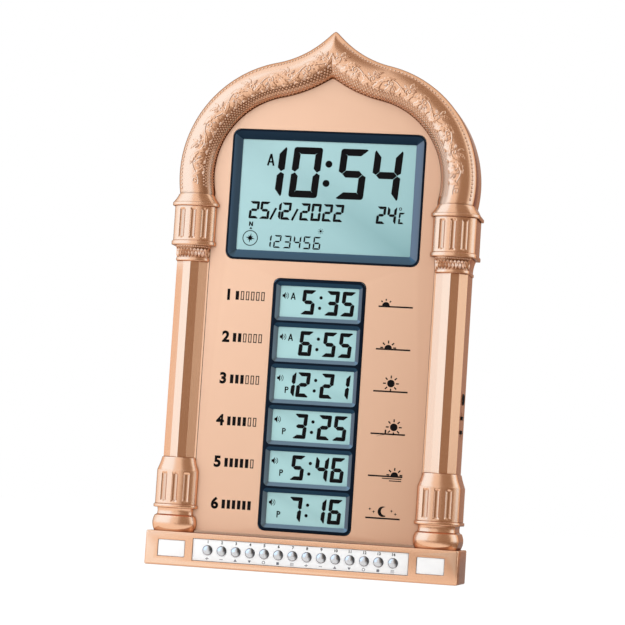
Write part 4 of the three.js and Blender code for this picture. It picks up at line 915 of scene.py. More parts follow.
def leafShape(width, length, height, bend=0.0, lobes=0, along=9, across=6):
    # pointed leaf with a groove down its middle, from its root at the origin; lobes scallop its edges
    points, faces = [], []
    for i in range(along + 1):
        u = i / along
        half = width / 2 * math.sin(math.pi * min(0.985, u * 0.93 + 0.06)) ** 0.75
        notch = abs(math.sin(math.pi * lobes * u)) if lobes else 1.0
        half *= 0.72 + 0.28 * notch
        for j in range(across + 1):
            v = -1 + 2 * j / across
            lift = height * (1 - v * v) ** 0.6 * math.sin(math.pi * (0.14 + 0.78 * u))
            lift -= 0.42 * height * max(0, 1 - abs(v) * 3) + 0.3 * height * (1 - notch) * abs(v)
            points.append((v * half + bend * u * u, -lift, u * length))
    count = across + 1
    for i in range(along):
        for j in range(across):
            a = i * count + j
            faces.append((a, a + 1, a + count + 1, a + count))
    border = list(range(count)) + [i * count + across for i in range(1, along + 1)]
    border += [along * count + j for j in range(across - 1, -1, -1)]
    border += [i * count for i in range(along - 1, 0, -1)]
    low, total = len(points), len(border)
    points += [(points[k][0], 0.4, points[k][2]) for k in border]
    faces += [(border[k], low + k, low + (k + 1) % total, border[(k + 1) % total]) for k in range(total)]
    faces.append(tuple(range(low, low + total)))
    return np.array(points), faces


def archFrame(places):
    # point of the middle line and outward direction, at lengths from the tip along the right half
    start, turn, ogeeRadius, ogee = archCurve()
    tipWay = np.array([0, arch["apexZ"]]) - ogee
    tipTurn = math.atan2(tipWay[1], tipWay[0])
    sweep = (turn + math.pi - tipTurn + math.pi) % (2 * math.pi) - math.pi
    ogeeLength = abs(sweep) * ogeeRadius
    middle = np.array([arch["spread"], arch["middleZ"]])
    points, ways = [], []
    for s in places:
        if s < ogeeLength:
            t = tipTurn + sweep * s / ogeeLength
            way = np.array([math.cos(t), math.sin(t)])
            points.append(ogee + ogeeRadius * way)
            ways.append(-way)
        else:
            t = max(start, turn - (s - ogeeLength) / arch["radius"])
            way = np.array([math.cos(t), math.sin(t)])
            drop = max(0.0, (s - ogeeLength) - (turn - start) * arch["radius"])
            points.append(middle + arch["radius"] * way - (0, drop))
            ways.append(way)
    return np.array(points), np.array(ways)


def acrossTable(half, rise):
    # turns and lengths along a half ellipse
    turns = np.linspace(0, math.pi, 181)
    steps = np.hypot(half * np.sin(turns), rise * np.cos(turns)) * (turns[1] - turns[0])
    lengths = np.concatenate([[0], np.cumsum((steps[1:] + steps[:-1]) / 2)])
    return turns, lengths


def wrapOnArch(piece):
    # local x runs along the arch from the tip, z across it, and y out of it
    flat = pointsOf(piece.data)
    turns, lengths = acrossTable(arch["halfWidth"], arch["rise"])
    theta = np.interp(lengths[-1] / 2 - flat[:, 2], lengths, turns)
    outX, outY = np.cos(theta) / arch["halfWidth"], np.sin(theta) / arch["rise"]
    size = np.hypot(outX, outY)
    lift = -flat[:, 1]
    offset = arch["halfWidth"] * np.cos(theta) + lift * outX / size
    depth = arch["face"] - arch["rise"] * np.sin(theta) - lift * outY / size
    middle, way = archFrame(np.abs(flat[:, 0]))
    place = middle + way * offset[:, None]
    x = np.maximum(place[:, 0], 0.0) * np.where(flat[:, 0] < 0, -1, 1)
    return layOut(piece, np.stack([x, depth, place[:, 1]], axis=1))


def buildBeads():
    c = carving
    places, sizes = [], []
    for row, across in enumerate(c["beadRows"]):
        shift = 0.4995 if row % 2 else 0.0  # every second row is staggered
        size = 1.28 if row == 0 else 0.95
        for i in range(int(c["length"] / 2 / c["beadPitch"])):
            s = (i + 0.5 + shift) * c["beadPitch"]
            places += [(-s, 0, across), (s, 0, across)]
            sizes += [(size, size, size)] * 2
    template = templatePiece("beadTemplate", beadShape(c["beadRadius"], c["beadHeight"]))
    beads = repeat("beads", template, places, finishes["roseBead"], sizes=sizes, spread=0.05, seed=c["seed"])
    return wrapOnArch(beads)


def scrollCentres(margin):
    # length along the arch and side of each bend, up to a margin before the carving's end
    c = carving
    centres = [(c["wave"] / 2 * (k + 0.5), 1 if k % 2 else -1) for k in range(int(c["length"] / c["wave"]))]
    return [(s, side) for s, side in centres if s <= c["length"] / 2 - margin]


def buildStems():
    # one wave along each half, and a scroll in every bend of it
    c = carving
    points, edges = [], []

    def addLine(line):
        start = len(points)
        points.extend(line)
        edges.extend((start + i, start + i + 1) for i in range(len(line) - 1))

    for way in (-1, 1):
        swing = lambda s: c["swing"] * math.cos(2 * math.pi * s / c["wave"] + math.pi / 2)
        steps = np.arange(2.0, c["length"] / 2 - 3, 0.8)
        addLine([(way * s, c["sunk"], c["middle"] + swing(s)) for s in steps])
        for s, side in scrollCentres(6):
            z = c["middle"] + side * (c["swing"] - c["scroll"])
            spiral = []
            for i in range(30):
                u = i / 29
                radius = c["scroll"] * (1 - 0.74 * u)
                turn = side * (math.pi / 2) + way * side * 2 * math.pi * c["turns"] * u
                spiral.append((way * s + radius * math.cos(turn), c["sunk"] - 0.06 * u,
                               z + radius * math.sin(turn)))
            addLine(spiral)
    stems = grow("stems", stemTree, toFrame(points), edges, Radius=c["stem"] / 1000, Step=0.0008,
                 Finish=finishes["roseShell"])
    return wrapOnArch(stems)


def buildLeaves():
    # a large lobed leaf over every bend of the wave, small ones round each scroll
    c = carving
    rows = {"small": [], "left": [], "right": [], "leftBorder": [], "rightBorder": []}
    for way in (-1, 1):
        for s, side in scrollCentres(7):
            z = c["middle"] + side * (c["swing"] - c["scroll"])
            for turn, away, size in ((-58, 1.9, 0.8), (0, 2.2, 1.0), (58, 1.9, 0.8)):
                lean = turn * way
                point = math.radians(lean)
                rows["small"].append((way * s + away * math.sin(point), z - side * away * math.cos(point),
                                      lean if side < 0 else 180 - lean, size))
            near, far = ("left", "right") if way * side > 0 else ("right", "left")
            rows[near].append((way * (s - c["wave"] * 0.27), c["middle"] - side * 0.4, way * (90 - side * 46),
                               1.0))
            rows[far].append((way * (s + c["wave"] * 0.05), c["middle"] - side * 1.9, way * (90 + side * 62),
                              0.62))
        for i in range(int((c["length"] / 2 - 3) / c["borderPitch"])):
            s = (i + 0.4) * c["borderPitch"]
            border = "rightBorder" if way > 0 else "leftBorder"
            rows[border].append((way * s, c["border"] - 0.3, way * 52, 1.0))
            rows["small"].append((way * (s + 1.2), c["border"] - 0.2, way * 84, 0.8))
    shapes = {"small": leafShape(*c["leaf"]),
              "left": leafShape(*c["bigLeaf"], c["bend"], c["lobes"], 20, 8),
              "right": leafShape(*c["bigLeaf"], -c["bend"], c["lobes"], 20, 8),
              "leftBorder": leafShape(*c["borderLeaf"], 2.2, 3, 14, 8),
              "rightBorder": leafShape(*c["borderLeaf"], -2.2, 3, 14, 8)}
    pieces = []
    for key, places in rows.items():
        pieces.append(repeat(
            "leaves", templatePiece("leafTemplate", shapes[key]), [(x, 0, z) for x, z, turn, size in places],
            finishes["roseShell"], [(0, math.radians(turn), 0) for x, z, turn, size in places],
            [(size, 1.0, size) for x, z, turn, size in places], spread=0.04, seed=c["seed"]))
    return wrapOnArch(merge("leaves", pieces))


neckCarving = {
    # half width and rise of the curve: in its middle, at its foot, and what both gain up to its top
    "middle": (10.2, 5.6), "foot": (9.8, 5.2), "gain": (1.4, 1.6), "ease": 2.1,
    "leaves": 12, "leaf": (2.3, 4.6, 0.7), "bud": (0.5, 0.5), "bead": (0.5, 0.4),
}


def buildNeckLeaves(side):
    # upright leaves round the narrow part under a capital, laid on its curve
    n = neckCarving
    low, top = column["neckRing"][0], column["neck"][0]
    turns, lengths = acrossTable(*n["middle"])
    pitch = lengths[-1] / n["leaves"]
    row = lambda count, start, step, z: [((i + start) * step, 0, z) for i in range(count)]
    between = n["leaves"] - 1
    leaf = templatePiece("neckLeafTemplate", leafShape(*n["leaf"]))
    bud = templatePiece("budTemplate", beadShape(*n["bud"]))
    bead = templatePiece("neckBeadTemplate", beadShape(*n["bead"]))
    rose = finishes["roseShell"]
    piece = merge("neckLeaves", [
        repeat("neckLeaves", leaf, row(n["leaves"], 0.5, pitch, 0.15), rose, spread=0.04, seed=3,
               keepTemplate=True),
        repeat("neckTips", leaf, row(between, 1, pitch, 2.9), rose, sizes=[(0.9, 0.9, 0.62)] * between,
               seed=6),
        repeat("neckBuds", bud, row(between, 1, pitch, 5.2), rose, seed=4),
        repeat("neckBeads", bead, row(2 * n["leaves"], 0.5, pitch / 2, 6.6), rose, seed=5)])
    flat = pointsOf(piece.data)
    theta = np.interp(flat[:, 0], lengths, turns)
    up = np.clip(flat[:, 2] / (top - low), 0, 1) ** n["ease"]
    width, rise = [foot + gain * up for foot, gain in zip(n["foot"], n["gain"])]
    outX, outY = np.cos(theta) / width, np.sin(theta) / rise
    size = np.hypot(outX, outY)
    lift = -flat[:, 1]
    x = side * (arch["columnX"] + width * np.cos(theta) + lift * outX / size)
    y = arch["face"] - rise * np.sin(theta) - lift * outY / size
    return layOut(piece, np.stack([x, y, low + flat[:, 2]], axis=1))


def setPaintedShade(mesh, values):
    spot = mesh.attributes.new("recess", "FLOAT", "POINT")
    spot.data.foreach_set("value", np.asarray(values, np.float32))


def innerShare(x, z):
    # how far a point of the arch lies towards the inside: 1 at the inner edge, -1 at the outer
    start, turn, ogeeRadius, ogee = archCurve()
    x = np.abs(x)
    inArc = arch["radius"] - np.hypot(x - arch["spread"], z - arch["middleZ"])
    inHollow = np.hypot(x - ogee[0], z - ogee[1]) - ogeeRadius
    angle = np.degrees(np.arctan2(z - arch["middleZ"], x - arch["spread"]))
    onArc = (angle < arch["turn"]) & (x > arch["spread"])
    return np.where(onArc, inArc, inHollow) / arch["halfWidth"]


def markPaintedShade(mesh, part):
    # painted shade: a deeper tone in hollows, joints and on the arch's inner third; carved pieces keep the
    # plain tone
    x, y, z = pointsOf(mesh).T
    recess = np.zeros(len(x))
    if part == "arch":
        front = y < 9.7
        # painted shade on the edge, a dark line along the panel, the foot on the capital, and the inner third
        for depth, share, where in ((0.85, y - 6.8, front), (2.0, (y - 8.3) / 0.4, front),
                                    (0.6, 1.4 - (z - arch["foot"]), front),
                                    (0.4, (innerShare(x, z) - 0.40) / 0.14, y < 9.6)):
            recess = np.maximum(recess, depth * np.clip(share, 0, 1) * where)
    if part == "column":
        # painted shade under the capital, and in the flutes by their depth
        recess[(z > 188.3) & (z < 195.5) & (y < 12)] = 0.62
        across = np.abs(x) - arch["columnX"]
        for i in np.flatnonzero(y < arch["face"]):
            recess[i] = max(recess[i], 0.22 * fluteDepth(across[i], z[i]) / column["fluteDeep"])
    if part == "inside":
        # painted shade in the joint under the panel
        recess[(z < 22.1) & (y < 9.1)] = 1.0
    setPaintedShade(mesh, recess)


def buildFrontShell():
    parts = buildShellBody()
    for piece, part in zip(parts, ("plinth", "column", "column", "arch", "inside")):
        paint(piece, "roseShell")
        shade(piece.data, 34)
        markPaintedShade(piece.data, part)
    carved = [buildBeads(), buildStems(), buildLeaves(), buildNeckLeaves(-1), buildNeckLeaves(1)]
    for piece in carved:
        markPaintedShade(piece.data, "carving")
    shell = settle(merge("frontShell", parts), "case", "rose_shell", "front_shell")
    ornament = settle(merge("shellCarving", carved), "case", "rose_shell")
    print("front shell", len(shell.data.polygons), "carving", len(ornament.data.polygons))


buildFrontShell()


# Bezels

# finishes: the rim and flats, then the left, right, foot and top slopes, the slopes painted lighter or darker
# by the way each faces the light
bezels = {
    "main": {"width": 119.6, "height": 80.2, "corner": 5.0, "z": 229.0, "windows": [229.0],
             "windowWidth": 107.8, "windowHeight": 68.4, "slope": 4.85, "pocket": 1.6,
             "finishes": ("bezelRim", "slateBezel", "bezelLight", "bezelFoot", "bezelShade")},
    "times": {"width": 57.0, "height": 153.2, "corner": 4.0, "z": 101.5,
              "windows": [164.45 - 25.18 * i for i in range(6)], "windowWidth": 48.5, "windowHeight": 19.0,
              "slope": 2.4, "pocket": 1.0,
              "finishes": ("bezelRim", "bezelPale", "bezelLight", "bezelPale", "bezelDusk")},
}
bezelForm = {"face": 8.6, "windowDeep": 1.8, "windowCorner": 0.6, "cornerGrowth": 0.75, "pocket": 10.85,
             "flange": 11.3, "flangeBack": 13.0, "flangeReach": 2.4, "back": 13.7}


def bezelShape(b):
    face, front, back, reach = [bezelForm[key] for key in ("face", "flange", "flangeBack", "flangeReach")]
    rows = [(0.35, face), (0.1, face + 0.1), (0, face + 0.35), (0, front - 0.1), (-reach, front),
            (-reach, back), (0, back + 0.1), (0, bezelForm["back"])]
    return slabShape(b["width"], b["height"], b["corner"], 0, b["z"], rows, 10, 1)


def windowCutter(b, z):
    face, deep, slope = bezelForm["face"], bezelForm["windowDeep"], b["slope"]
    rows = [(-slope * 1.25, face - deep * 0.25), (-slope, face), (-0.25, face + deep - 0.06),
            (0, face + deep + 0.1), (0, 14.5)]
    return slabShape(b["windowWidth"], b["windowHeight"], bezelForm["windowCorner"], 0, z, rows, 6,
                     bezelForm["cornerGrowth"])


def bezelSide(b, centre, normal):
    # 0 the rim and flats; slopes: 1 on the left, 2 on the right, 3 at the foot and 4 at the top of a window,
    # each slope in its own tone of painted light or shade
    x, y, z = centre * 1000
    y -= frontY
    outer = max(abs(x) - b["width"] / 2, abs(z - b["z"]) - b["height"] / 2)
    if y < 12 and (outer > -0.4 or (abs(normal.y) > 0.97 and y < 9)):
        return 0
    if y < 10.7:
        if abs(normal.z) > 0.15:
            return 4 if normal.z < 0 else 3
        if normal.x < -0.15:
            return 2
    return 1


def buildBezels():
    for key, b in bezels.items():
        piece = meshPiece(key + "Bezel", *bezelShape(b))
        cut(piece, [joinShapes([windowCutter(b, z) for z in b["windows"]])])
        halfX, halfZ = b["windowWidth"] / 2 + b["pocket"], b["windowHeight"] / 2 + b["pocket"]
        cut(piece, [joinShapes([boxShape(-halfX, halfX, bezelForm["pocket"], 14, z - halfZ, z + halfZ)
                                for z in b["windows"]])])
        mesh = piece.data
        mesh.materials.clear()
        for finish in b["finishes"]:
            mesh.materials.append(finishes[finish])
        for face in mesh.polygons:
            face.material_index = bezelSide(b, face.center, face.normal)
        shade(mesh, 24)
        settle(piece, "case", "slate_bezel", key + "_bezel")
    print("bezels")


buildBezels()


# Displays: segments and signs as thin ink on the panes

digits = {"0": "abcdef", "1": "bc", "2": "abged", "3": "abgcd", "4": "fgbc", "5": "afgcd", "6": "afgedc",
          "7": "abc", "C": "afed"}


def segment(which, w, h, t, gap):
    # outline of one bar of a seven-bar digit, with mitred ends and softened outer corners
    m, g, c = h / 2, gap / 2 * 1.414, t * 0.34
    if which == "a":
        return [(g + c, h), (w - g - c, h), (w - g - c * 0.36, h - c * 0.2), (w - g - c * 0.12, h - c * 0.52),
                (w - t - g, h - t), (t + g, h - t), (g + c * 0.12, h - c * 0.52), (g + c * 0.36, h - c * 0.2)]
    if which == "g":
        return [(t / 2 + g, m), (t + g, m + t / 2), (w - t - g, m + t / 2), (w - t / 2 - g, m),
                (w - t - g, m - t / 2), (t + g, m - t / 2)]
    if which == "f":
        return [(0, h - g - c), (c * 0.2, h - g - c * 0.36), (c * 0.52, h - g - c * 0.12), (t, h - t - g),
                (t, m + t / 2 + g), (t / 2, m + g), (0, m + g + t * 0.3)]
    # the foot mirrors the top bar, the other sides mirror the upper left bar
    bar = segment("a" if which == "d" else "f", w, h, t, gap)
    return [(w - x if which in "bc" else x, h - z if which in "dec" else z) for x, z in bar][::-1]


def digitOutlines(sign, x, z, w, h, t, gap):
    lean = display["lean"]
    return [[(x + px + lean * pz, z + pz) for px, pz in segment(which, w, h, t, gap)]
            for which in digits[sign]]


def disc(x, z, radius, sides=20):
    return [(px, pz) for px, y, pz in discRing(radius, x, z, 0, sides)]


def stroke(x0, z0, x1, z1, thick):
    dx, dz = x1 - x0, z1 - z0
    size = math.hypot(dx, dz)
    nx, nz = -dz / size * thick / 2, dx / size * thick / 2
    return [(x0 + nx, z0 + nz), (x1 + nx, z1 + nz), (x1 - nx, z1 - nz), (x0 - nx, z0 - nz)]


def arcBand(x, z, radius, thick, start, end, steps=14):
    turns = [math.radians(start + (end - start) * i / steps) for i in range(steps + 1)]
    outer, inner = [[(x + reach * math.cos(t), z + reach * math.sin(t)) for t in turns]
                    for reach in (radius + thick / 2, radius - thick / 2)]
    return outer + inner[::-1]


def ringOutlines(x, z, radius, thick):
    return [arcBand(x, z, radius, thick, 0, 180), arcBand(x, z, radius, thick, 180, 360)]


def letterOutlines(letter, x, z, w, h, t):
    # upright strokes for the small marks of a clock: A, P and N
    right, top, half = x + w, z + h, t / 2
    if letter == "A":
        return [stroke(x + half, z, x + w / 2, top, t), stroke(right - half, z, x + w / 2, top, t),
                stroke(x + w * 0.24, z + h * 0.32, right - w * 0.24, z + h * 0.32, t * 0.85)]
    if letter == "N":
        return [stroke(x + half, z, x + half, top, t), stroke(right - half, z, right - half, top, t),
                stroke(x + half, top, right - half, z, t)]
    bowl = h * 0.28
    return [stroke(x + half, z, x + half, top, t), stroke(x, top - half, right - bowl, top - half, t),
            stroke(x, top - 2 * bowl + half, right - bowl, top - 2 * bowl + half, t),
            arcBand(right - bowl, top - bowl, bowl - half, t, -90, 90)]


def platesShape(outlines, y, thickness):
    # a thin plate for each outline, all turned to face the front
    shapes = []
    for outline in outlines:
        area = sum(a[0] * b[1] - b[0] * a[1] for a, b in zip(outline, outline[1:] + outline[:1]))
        shapes.append(flatShape(outline if area > 0 else outline[::-1], y, thickness))
    return joinShapes(shapes)


display = {"face": 10.9, "back": 13.7, "inkFront": 10.88, "ink": 0.03, "lean": 0.07}
mainSigns = {
    # each sign with its left edge, bottom, width, height and bar
    "hours": [("1", -45.9, 228.4, 17.8, 31.1, 4.4), ("0", -23.7, 228.4, 17.9, 31.1, 4.3),
              ("5", 5.6, 228.4, 17.1, 31.1, 4.3), ("4", 26.5, 228.4, 17.5, 31.1, 4.3)],
    "colon": [(0.4, 249.6, 2.15, 28), (-0.6, 237.7, 2.15, 28)], "morning": (-38.2, 247.3, 4.8, 7.3, 1.15),
    "date": [("2", -47.6), ("5", -40.9), ("1", -33.8), ("2", -27.6), ("2", -15.9), ("0", -9.0), ("2", -1.9),
             ("2", 5.0)],
    "dateBottom": 214.3, "dateSize": (6.0, 10.7, 1.6), "slashes": (-33.9, -20.4), "slash": (3.3, 7.0, 1.3),
    "warmth": [("2", 31.5, 214.3, 5.5, 10.7, 1.6), ("4", 38.0, 214.3, 5.6, 10.7, 1.6),
               ("C", 45.2, 214.7, 3.6, 7.0, 1.1)],
    "degree": (46.3, 223.9, 0.75, 0.4), "compass": (-45.6, 202.2, 4.55), "sun": (-2.0, 208.2),
    "count": "123456", "countLeft": -37.2, "countPitch": 6.15, "countBottom": 196.8,
    "countSize": (4.6, 7.9, 0.95),
}
timeSigns = {
    "rows": [("5", "35", "A"), ("6", "55", "A"), ("12", "21", "P"), ("3", "25", "P"), ("5", "46", "P"),
             ("7", "16", "P")],
    "size": (8.0, 15.1, 2.35), "places": (-20.1, -11.2, 3.5, 13.3), "colon": [(0.95, 3.1), (0.43, -3.3)],
    "sound": -23.0, "halves": {"A": (-17.9, 1.2, 3.2, 4.2, 0.75), "P": (-17.8, -5.5, 2.3, 3.9, 0.7)},
}


def mainInk():
    m, dark = mainSigns, []
    for sign, x, z, w, h, t in m["hours"]:
        dark += digitOutlines(sign, x, z, w, h, t, 0.26)
    w, h, t = m["dateSize"]
    for sign, x in m["date"]:
        dark += digitOutlines(sign, x, m["dateBottom"], w, h, t, 0.16)
    for sign, x, z, w, h, t in m["warmth"]:
        dark += digitOutlines(sign, x, z, w, h, t, 0.16)
    across, up, thick = m["slash"]
    for x in m["slashes"]:
        dark.append(stroke(x, m["dateBottom"] - 0.2, x + across, m["dateBottom"] + up, thick))
    dark += [disc(*dot) for dot in m["colon"]]
    return dark + letterOutlines("A", *m["morning"]) + ringOutlines(*m["degree"])


def compassInk():
    x, z, radius = mainSigns["compass"]
    dark = letterOutlines("N", x - 1.3, z + 7.4, 2.5, 2.7, 0.75)
    dark.append([(x - 0.9, z + 5.5), (x + 0.9, z + 5.5), (x, z + 6.9)])
    dark += ringOutlines(x, z, radius, 0.5)
    for turn in range(8):
        way = math.radians(45 * turn + 10)
        long = 3.0 if turn % 2 == 0 else 2.0
        tip, left, right = [(x + reach * math.sin(t), z + reach * math.cos(t))
                            for reach, t in ((long, way), (0.95, way + 0.55), (0.95, way - 0.55))]
        dark.append([tip, left, (x, z), right])
    return dark


def countInk():
    # a row of plain numbers, and a small sun over them
    m, dark = mainSigns, []
    for i, sign in enumerate(m["count"]):
        left = m["countLeft"] + i * m["countPitch"]
        dark += digitOutlines(sign, left, m["countBottom"], *m["countSize"], 0.3)
    x, z = m["sun"]
    dark.append(disc(x, z, 0.75))
    for turn in range(0, 360, 45):
        t = math.radians(turn)
        dark.append(stroke(x + 1.1 * math.cos(t), z + 1.1 * math.sin(t), x + 1.75 * math.cos(t),
                           z + 1.75 * math.sin(t), 0.3))
    return dark


def timeInk(row):
    hour, minute, half = timeSigns["rows"][row]
    z = bezels["times"]["windows"][row]
    w, h, t = timeSigns["size"]
    dark = []
    for sign, x in zip(hour.rjust(2) + minute, timeSigns["places"]):
        if sign != " ":
            dark += digitOutlines(sign, x, z - h / 2, w, h, t, 0.13)
    dark += [disc(x, z + up, 1.02) for x, up in timeSigns["colon"]]
    x = timeSigns["sound"]
    dark.append([(x, z + 2.7), (x + 0.8, z + 2.7), (x + 1.9, z + 1.3), (x + 1.9, z + 5.6), (x + 0.8, z + 4.2),
                 (x, z + 4.2)])
    dark += [arcBand(x + 1.5, z + 3.45, radius, 0.34, -52, 52) for radius in (1.3, 2.3)]
    x, up, *size = timeSigns["halves"][half]
    return dark + letterOutlines(half, x, z + up, *size)


def buildDisplay(name, node, b, z, overlap, finish, outlines):
    face = display["face"]
    rows = [(0.15, face), (0, face + 0.15), (0, display["back"])]
    shape = slabShape(b["windowWidth"] + overlap, b["windowHeight"] + overlap, 0.3, 0, z, rows, 3)
    pane = meshPiece(name + "Pane", *shape, finishes[finish])
    dark = meshPiece(name + "Ink", *platesShape(outlines, display["inkFront"], display["ink"]),
                     finishes["lcdInk"], 30)
    settle(merge(name, [pane, dark]), "case", "lcd_glass", node)


def buildDisplays():
    main, times = bezels["main"], bezels["times"]
    dark = mainInk() + compassInk() + countInk()
    buildDisplay("mainDisplay", "main_lcd", main, main["z"], 3, "lcdGlass", dark)
    for row, z in enumerate(times["windows"]):
        buildDisplay(f"timeDisplay{row + 1}", f"time_lcd_{row + 1}", times, z, 1.8, "lcdPane", timeInk(row))
    print("displays")


buildDisplays()


# Printed signs on the panel, the button strip and the side

def textShape(text, x, z, size, y, bold):
    # a number of the built-in typeface, filled and laid flat at a depth
    curve = bpy.data.curves.new("sign", "FONT")
    curve.body = text
    curve.size = size
    curve.offset = bold
    curve.align_x = "CENTER"
    curve.align_y = "CENTER"
    curve.resolution_u = 5
    holder = link(bpy.data.objects.new("sign", curve))
    bpy.context.view_layer.update()
    flat = bpy.data.meshes.new_from_object(holder.evaluated_get(bpy.context.evaluated_depsgraph_get()))
    bpy.data.objects.remove(holder)
    points = np.array([v.co[:] for v in flat.vertices])
    placed = np.stack([points[:, 0] + x, np.full(len(points), y), points[:, 1] + z], axis=1)
    return placed, [tuple(face.vertices) for face in flat.polygons]


signs = {
    "rows": [166.4, 140.6, 115.2, 89.6, 64.3, 39.0], "front": 8.985, "thick": 0.014,
    "numeralX": -56.2, "numeral": 9.0, "bold": 0.42, "barX": -51.8, "barPitch": 3.2, "bar": (2.1, 5.4, 0.55),
}
sky = {
    # the signs on the right: horizon, disc and rays, places of the five suns, and the stars round the moon
    "x": 47.4, "drop": 2.3, "reach": 10.5, "line": 0.95, "disc": 2.3, "gap": 0.75, "ray": 1.8, "dawnRay": 1.1,
    "rayWidth": 0.8, "suns": [(-6.0, 0.0), (-3.0, 0.0), (0.0, 4.9), (3.4, 4.3), (5.6, 0.0)],
    "stars": [(5.2, 2.4), (7.6, 0.6), (-5.6, 1.4), (-8.0, 3.0)],
}


def barOutlines(row, z):
    # a row of six bars, with the bar of this row and those before it filled
    w, h, t = signs["bar"]
    low, high, half = z - h / 2, z + h / 2, t / 2
    outlines = []
    for i in range(len(signs["rows"])):
        x = signs["barX"] + i * signs["barPitch"]
        if i <= row:
            outlines.append([(x, low), (x + w, low), (x + w, high), (x, high)])
        else:
            outlines += [stroke(x, bar, x + w, bar, t) for bar in (low + half, high - half)]
            outlines += [stroke(post, low, post, high, t) for post in (x + half, x + w - half)]
    return outlines


def moonOutlines(x, z):
    # a crescent between four stars
    turns = [math.radians(60 + 240 * i / 20) for i in range(21)]
    outer = [(x + 3.2 * math.cos(t), z + 1.7 + 3.2 * math.sin(t)) for t in turns]
    inner = [(x + 1.3 + 2.5 * math.cos(t), z + 2.0 + 2.5 * math.sin(t)) for t in turns[2:-2]]
    outlines = [outer + inner[::-1]]
    for aside, up in sky["stars"]:
        sx, sz = x + aside, z + up
        outlines += [[(sx - a, sz), (sx, sz + b), (sx + a, sz), (sx, sz - b)]
                     for a, b in ((1.0, 0.35), (0.35, 1.0))]
    return outlines


def skyOutlines(row, z):
    # where the sun stands over the horizon at each of the times, and the moon at the last
    x, base, radius = sky["x"], z - sky["drop"], sky["disc"]
    outlines = [stroke(x - sky["reach"], base, x + sky["reach"], base, sky["line"])]
    if row == len(sky["suns"]):
        return outlines + moonOutlines(x, z)
    aside, lift = sky["suns"][row]
    cx, cz = x + aside, base + lift
    if lift:
        outlines.append(disc(cx, cz, radius, 28))
    else:
        cz += sky["line"] / 2
        turns = [math.pi * i / 16 for i in range(17)]
        outlines.append([(cx + radius * math.cos(t), cz + radius * math.sin(t)) for t in turns])
    near = radius + sky["gap"]
    far = near + (sky["dawnRay"] if row == 0 else sky["ray"])
    for turn in range(0, 360 if lift else 181, 45):
        level = not lift and turn in (0, 180)
        if level and row == 0:
            continue
        t = math.radians(turn)
        up = 0.5 if level else 0
        outlines.append(stroke(cx + near * math.cos(t), cz + near * math.sin(t) + up,
                               cx + far * math.cos(t), cz + far * math.sin(t) + up, sky["rayWidth"]))
    if row == 4:
        # waves under the setting sun
        for k in range(2):
            half, low = 7.4 - 3.1 * k, base - 1.3 * (k + 1)
            outlines.append(stroke(cx - half + 1.2 * k, low, cx + min(half, 4.4), low, 0.6))
    if row == 3:
        # a post and its long shadow
        outlines.append([(x - 2.0, base), (x - 1.0, base), (x - 1.0, base + 2.6), (x - 2.0, base + 2.6)])
        outlines.append([(x - 2.0, base - 0.3), (x - 1.0, base - 0.3), (x - 6.6, base - 1.5),
                         (x - 7.2, base - 1.5)])
    return outlines


def buildPanelSigns():
    outlines, numerals = [], []
    for row, z in enumerate(signs["rows"]):
        outlines += barOutlines(row, z) + skyOutlines(row, z)
        numerals.append(textShape(str(row + 1), signs["numeralX"], z, signs["numeral"], signs["front"],
                                  signs["bold"]))
    marks = platesShape(outlines, signs["front"], -signs["thick"])
    marks = meshPiece("panelMarks", *marks, finishes["print"], 30)
    numbers = meshPiece("panelNumbers", *joinShapes(numerals), finishes["print"], 30, False)
    settle(merge("panelSigns", [marks, numbers]), "case", "peach_panel")
    print("panel signs")


buildPanelSigns()


# Button strip, caps and plaques

strip = {
    "halfX": 65.8, "low": 4.15, "high": 17.15, "hole": 3.04, "buttonZ": 10.65, "pitch": 8.715, "count": 14,
    "numberZ": 15.65, "numberSize": 2.35, "numberBold": 0.09, "signZ": 5.65,
}
buttonXs = [(i - (strip["count"] - 1) / 2) * strip["pitch"] for i in range(strip["count"])]


def keySign(i, x, z):
    # small plain marks for the fourteen keys
    kinds = [
        [stroke(x - 1.0, z, x + 1.0, z, 0.36), stroke(x, z - 0.9, x, z + 0.9, 0.36)],
        [stroke(x - 1.0, z, x + 1.0, z, 0.36)],
        [[(x - 1.0, z - 0.7), (x + 1.0, z - 0.7), (x, z + 0.9)]],
        [[(x - 1.0, z + 0.7), (x, z - 0.9), (x + 1.0, z + 0.7)]],
        ringOutlines(x, z, 0.8, 0.32),
        [[(x - 0.8, z - 0.8), (x + 0.8, z - 0.8), (x + 0.8, z + 0.8), (x - 0.8, z + 0.8)]],
        [stroke(x - 1.1, z + k, x + 1.1, z + k, 0.28) for k in (-0.7, 0, 0.7)],
    ]
    return kinds[i % len(kinds)]


def buildStrip():
    s = strip
    rows = [(0.2, 0.6), (0.05, 0.66), (0, 0.8), (0, 2.35), (-0.85, 2.4), (-0.85, 3.2)]
    middle = (s["high"] + s["low"]) / 2
    plate = meshPiece("stripPlate", *slabShape(2 * s["halfX"], s["high"] - s["low"], 0.4, 0, middle, rows, 4))
    flare = [(s["hole"] + 0.12, 0.3), (s["hole"] + 0.1, 0.6), (s["hole"], 0.75), (s["hole"], 3.5)]
    cut(plate, [joinShapes([turnedShape(flare, x, s["buttonZ"], 40) for x in buttonXs])])
    paint(plate, "whiteSheet")
    shade(plate.data, 30)
    outlines, numbers = [], []
    for i, x in enumerate(buttonXs):
        outlines += keySign(i, x, s["signZ"])
        numbers.append(textShape(str(i + 1), x, s["numberZ"], s["numberSize"], 0.586, s["numberBold"]))
    marks = meshPiece("keySigns", *platesShape(outlines, 0.598, -0.012), finishes["greyPrint"], 30)
    figures = meshPiece("keyNumbers", *joinShapes(numbers), finishes["print"], 30, False)
    settle(merge("buttonStrip", [plate, marks, figures]), "case", "white_sheet", "button_strip")
    print("button strip")


cap = {"radius": 2.9, "top": -0.6, "rim": 0.55, "flange": 3.9, "flangeFront": 3.4, "flangeBack": 4.2,
       "stem": 1.5, "stemEnd": 5.4}


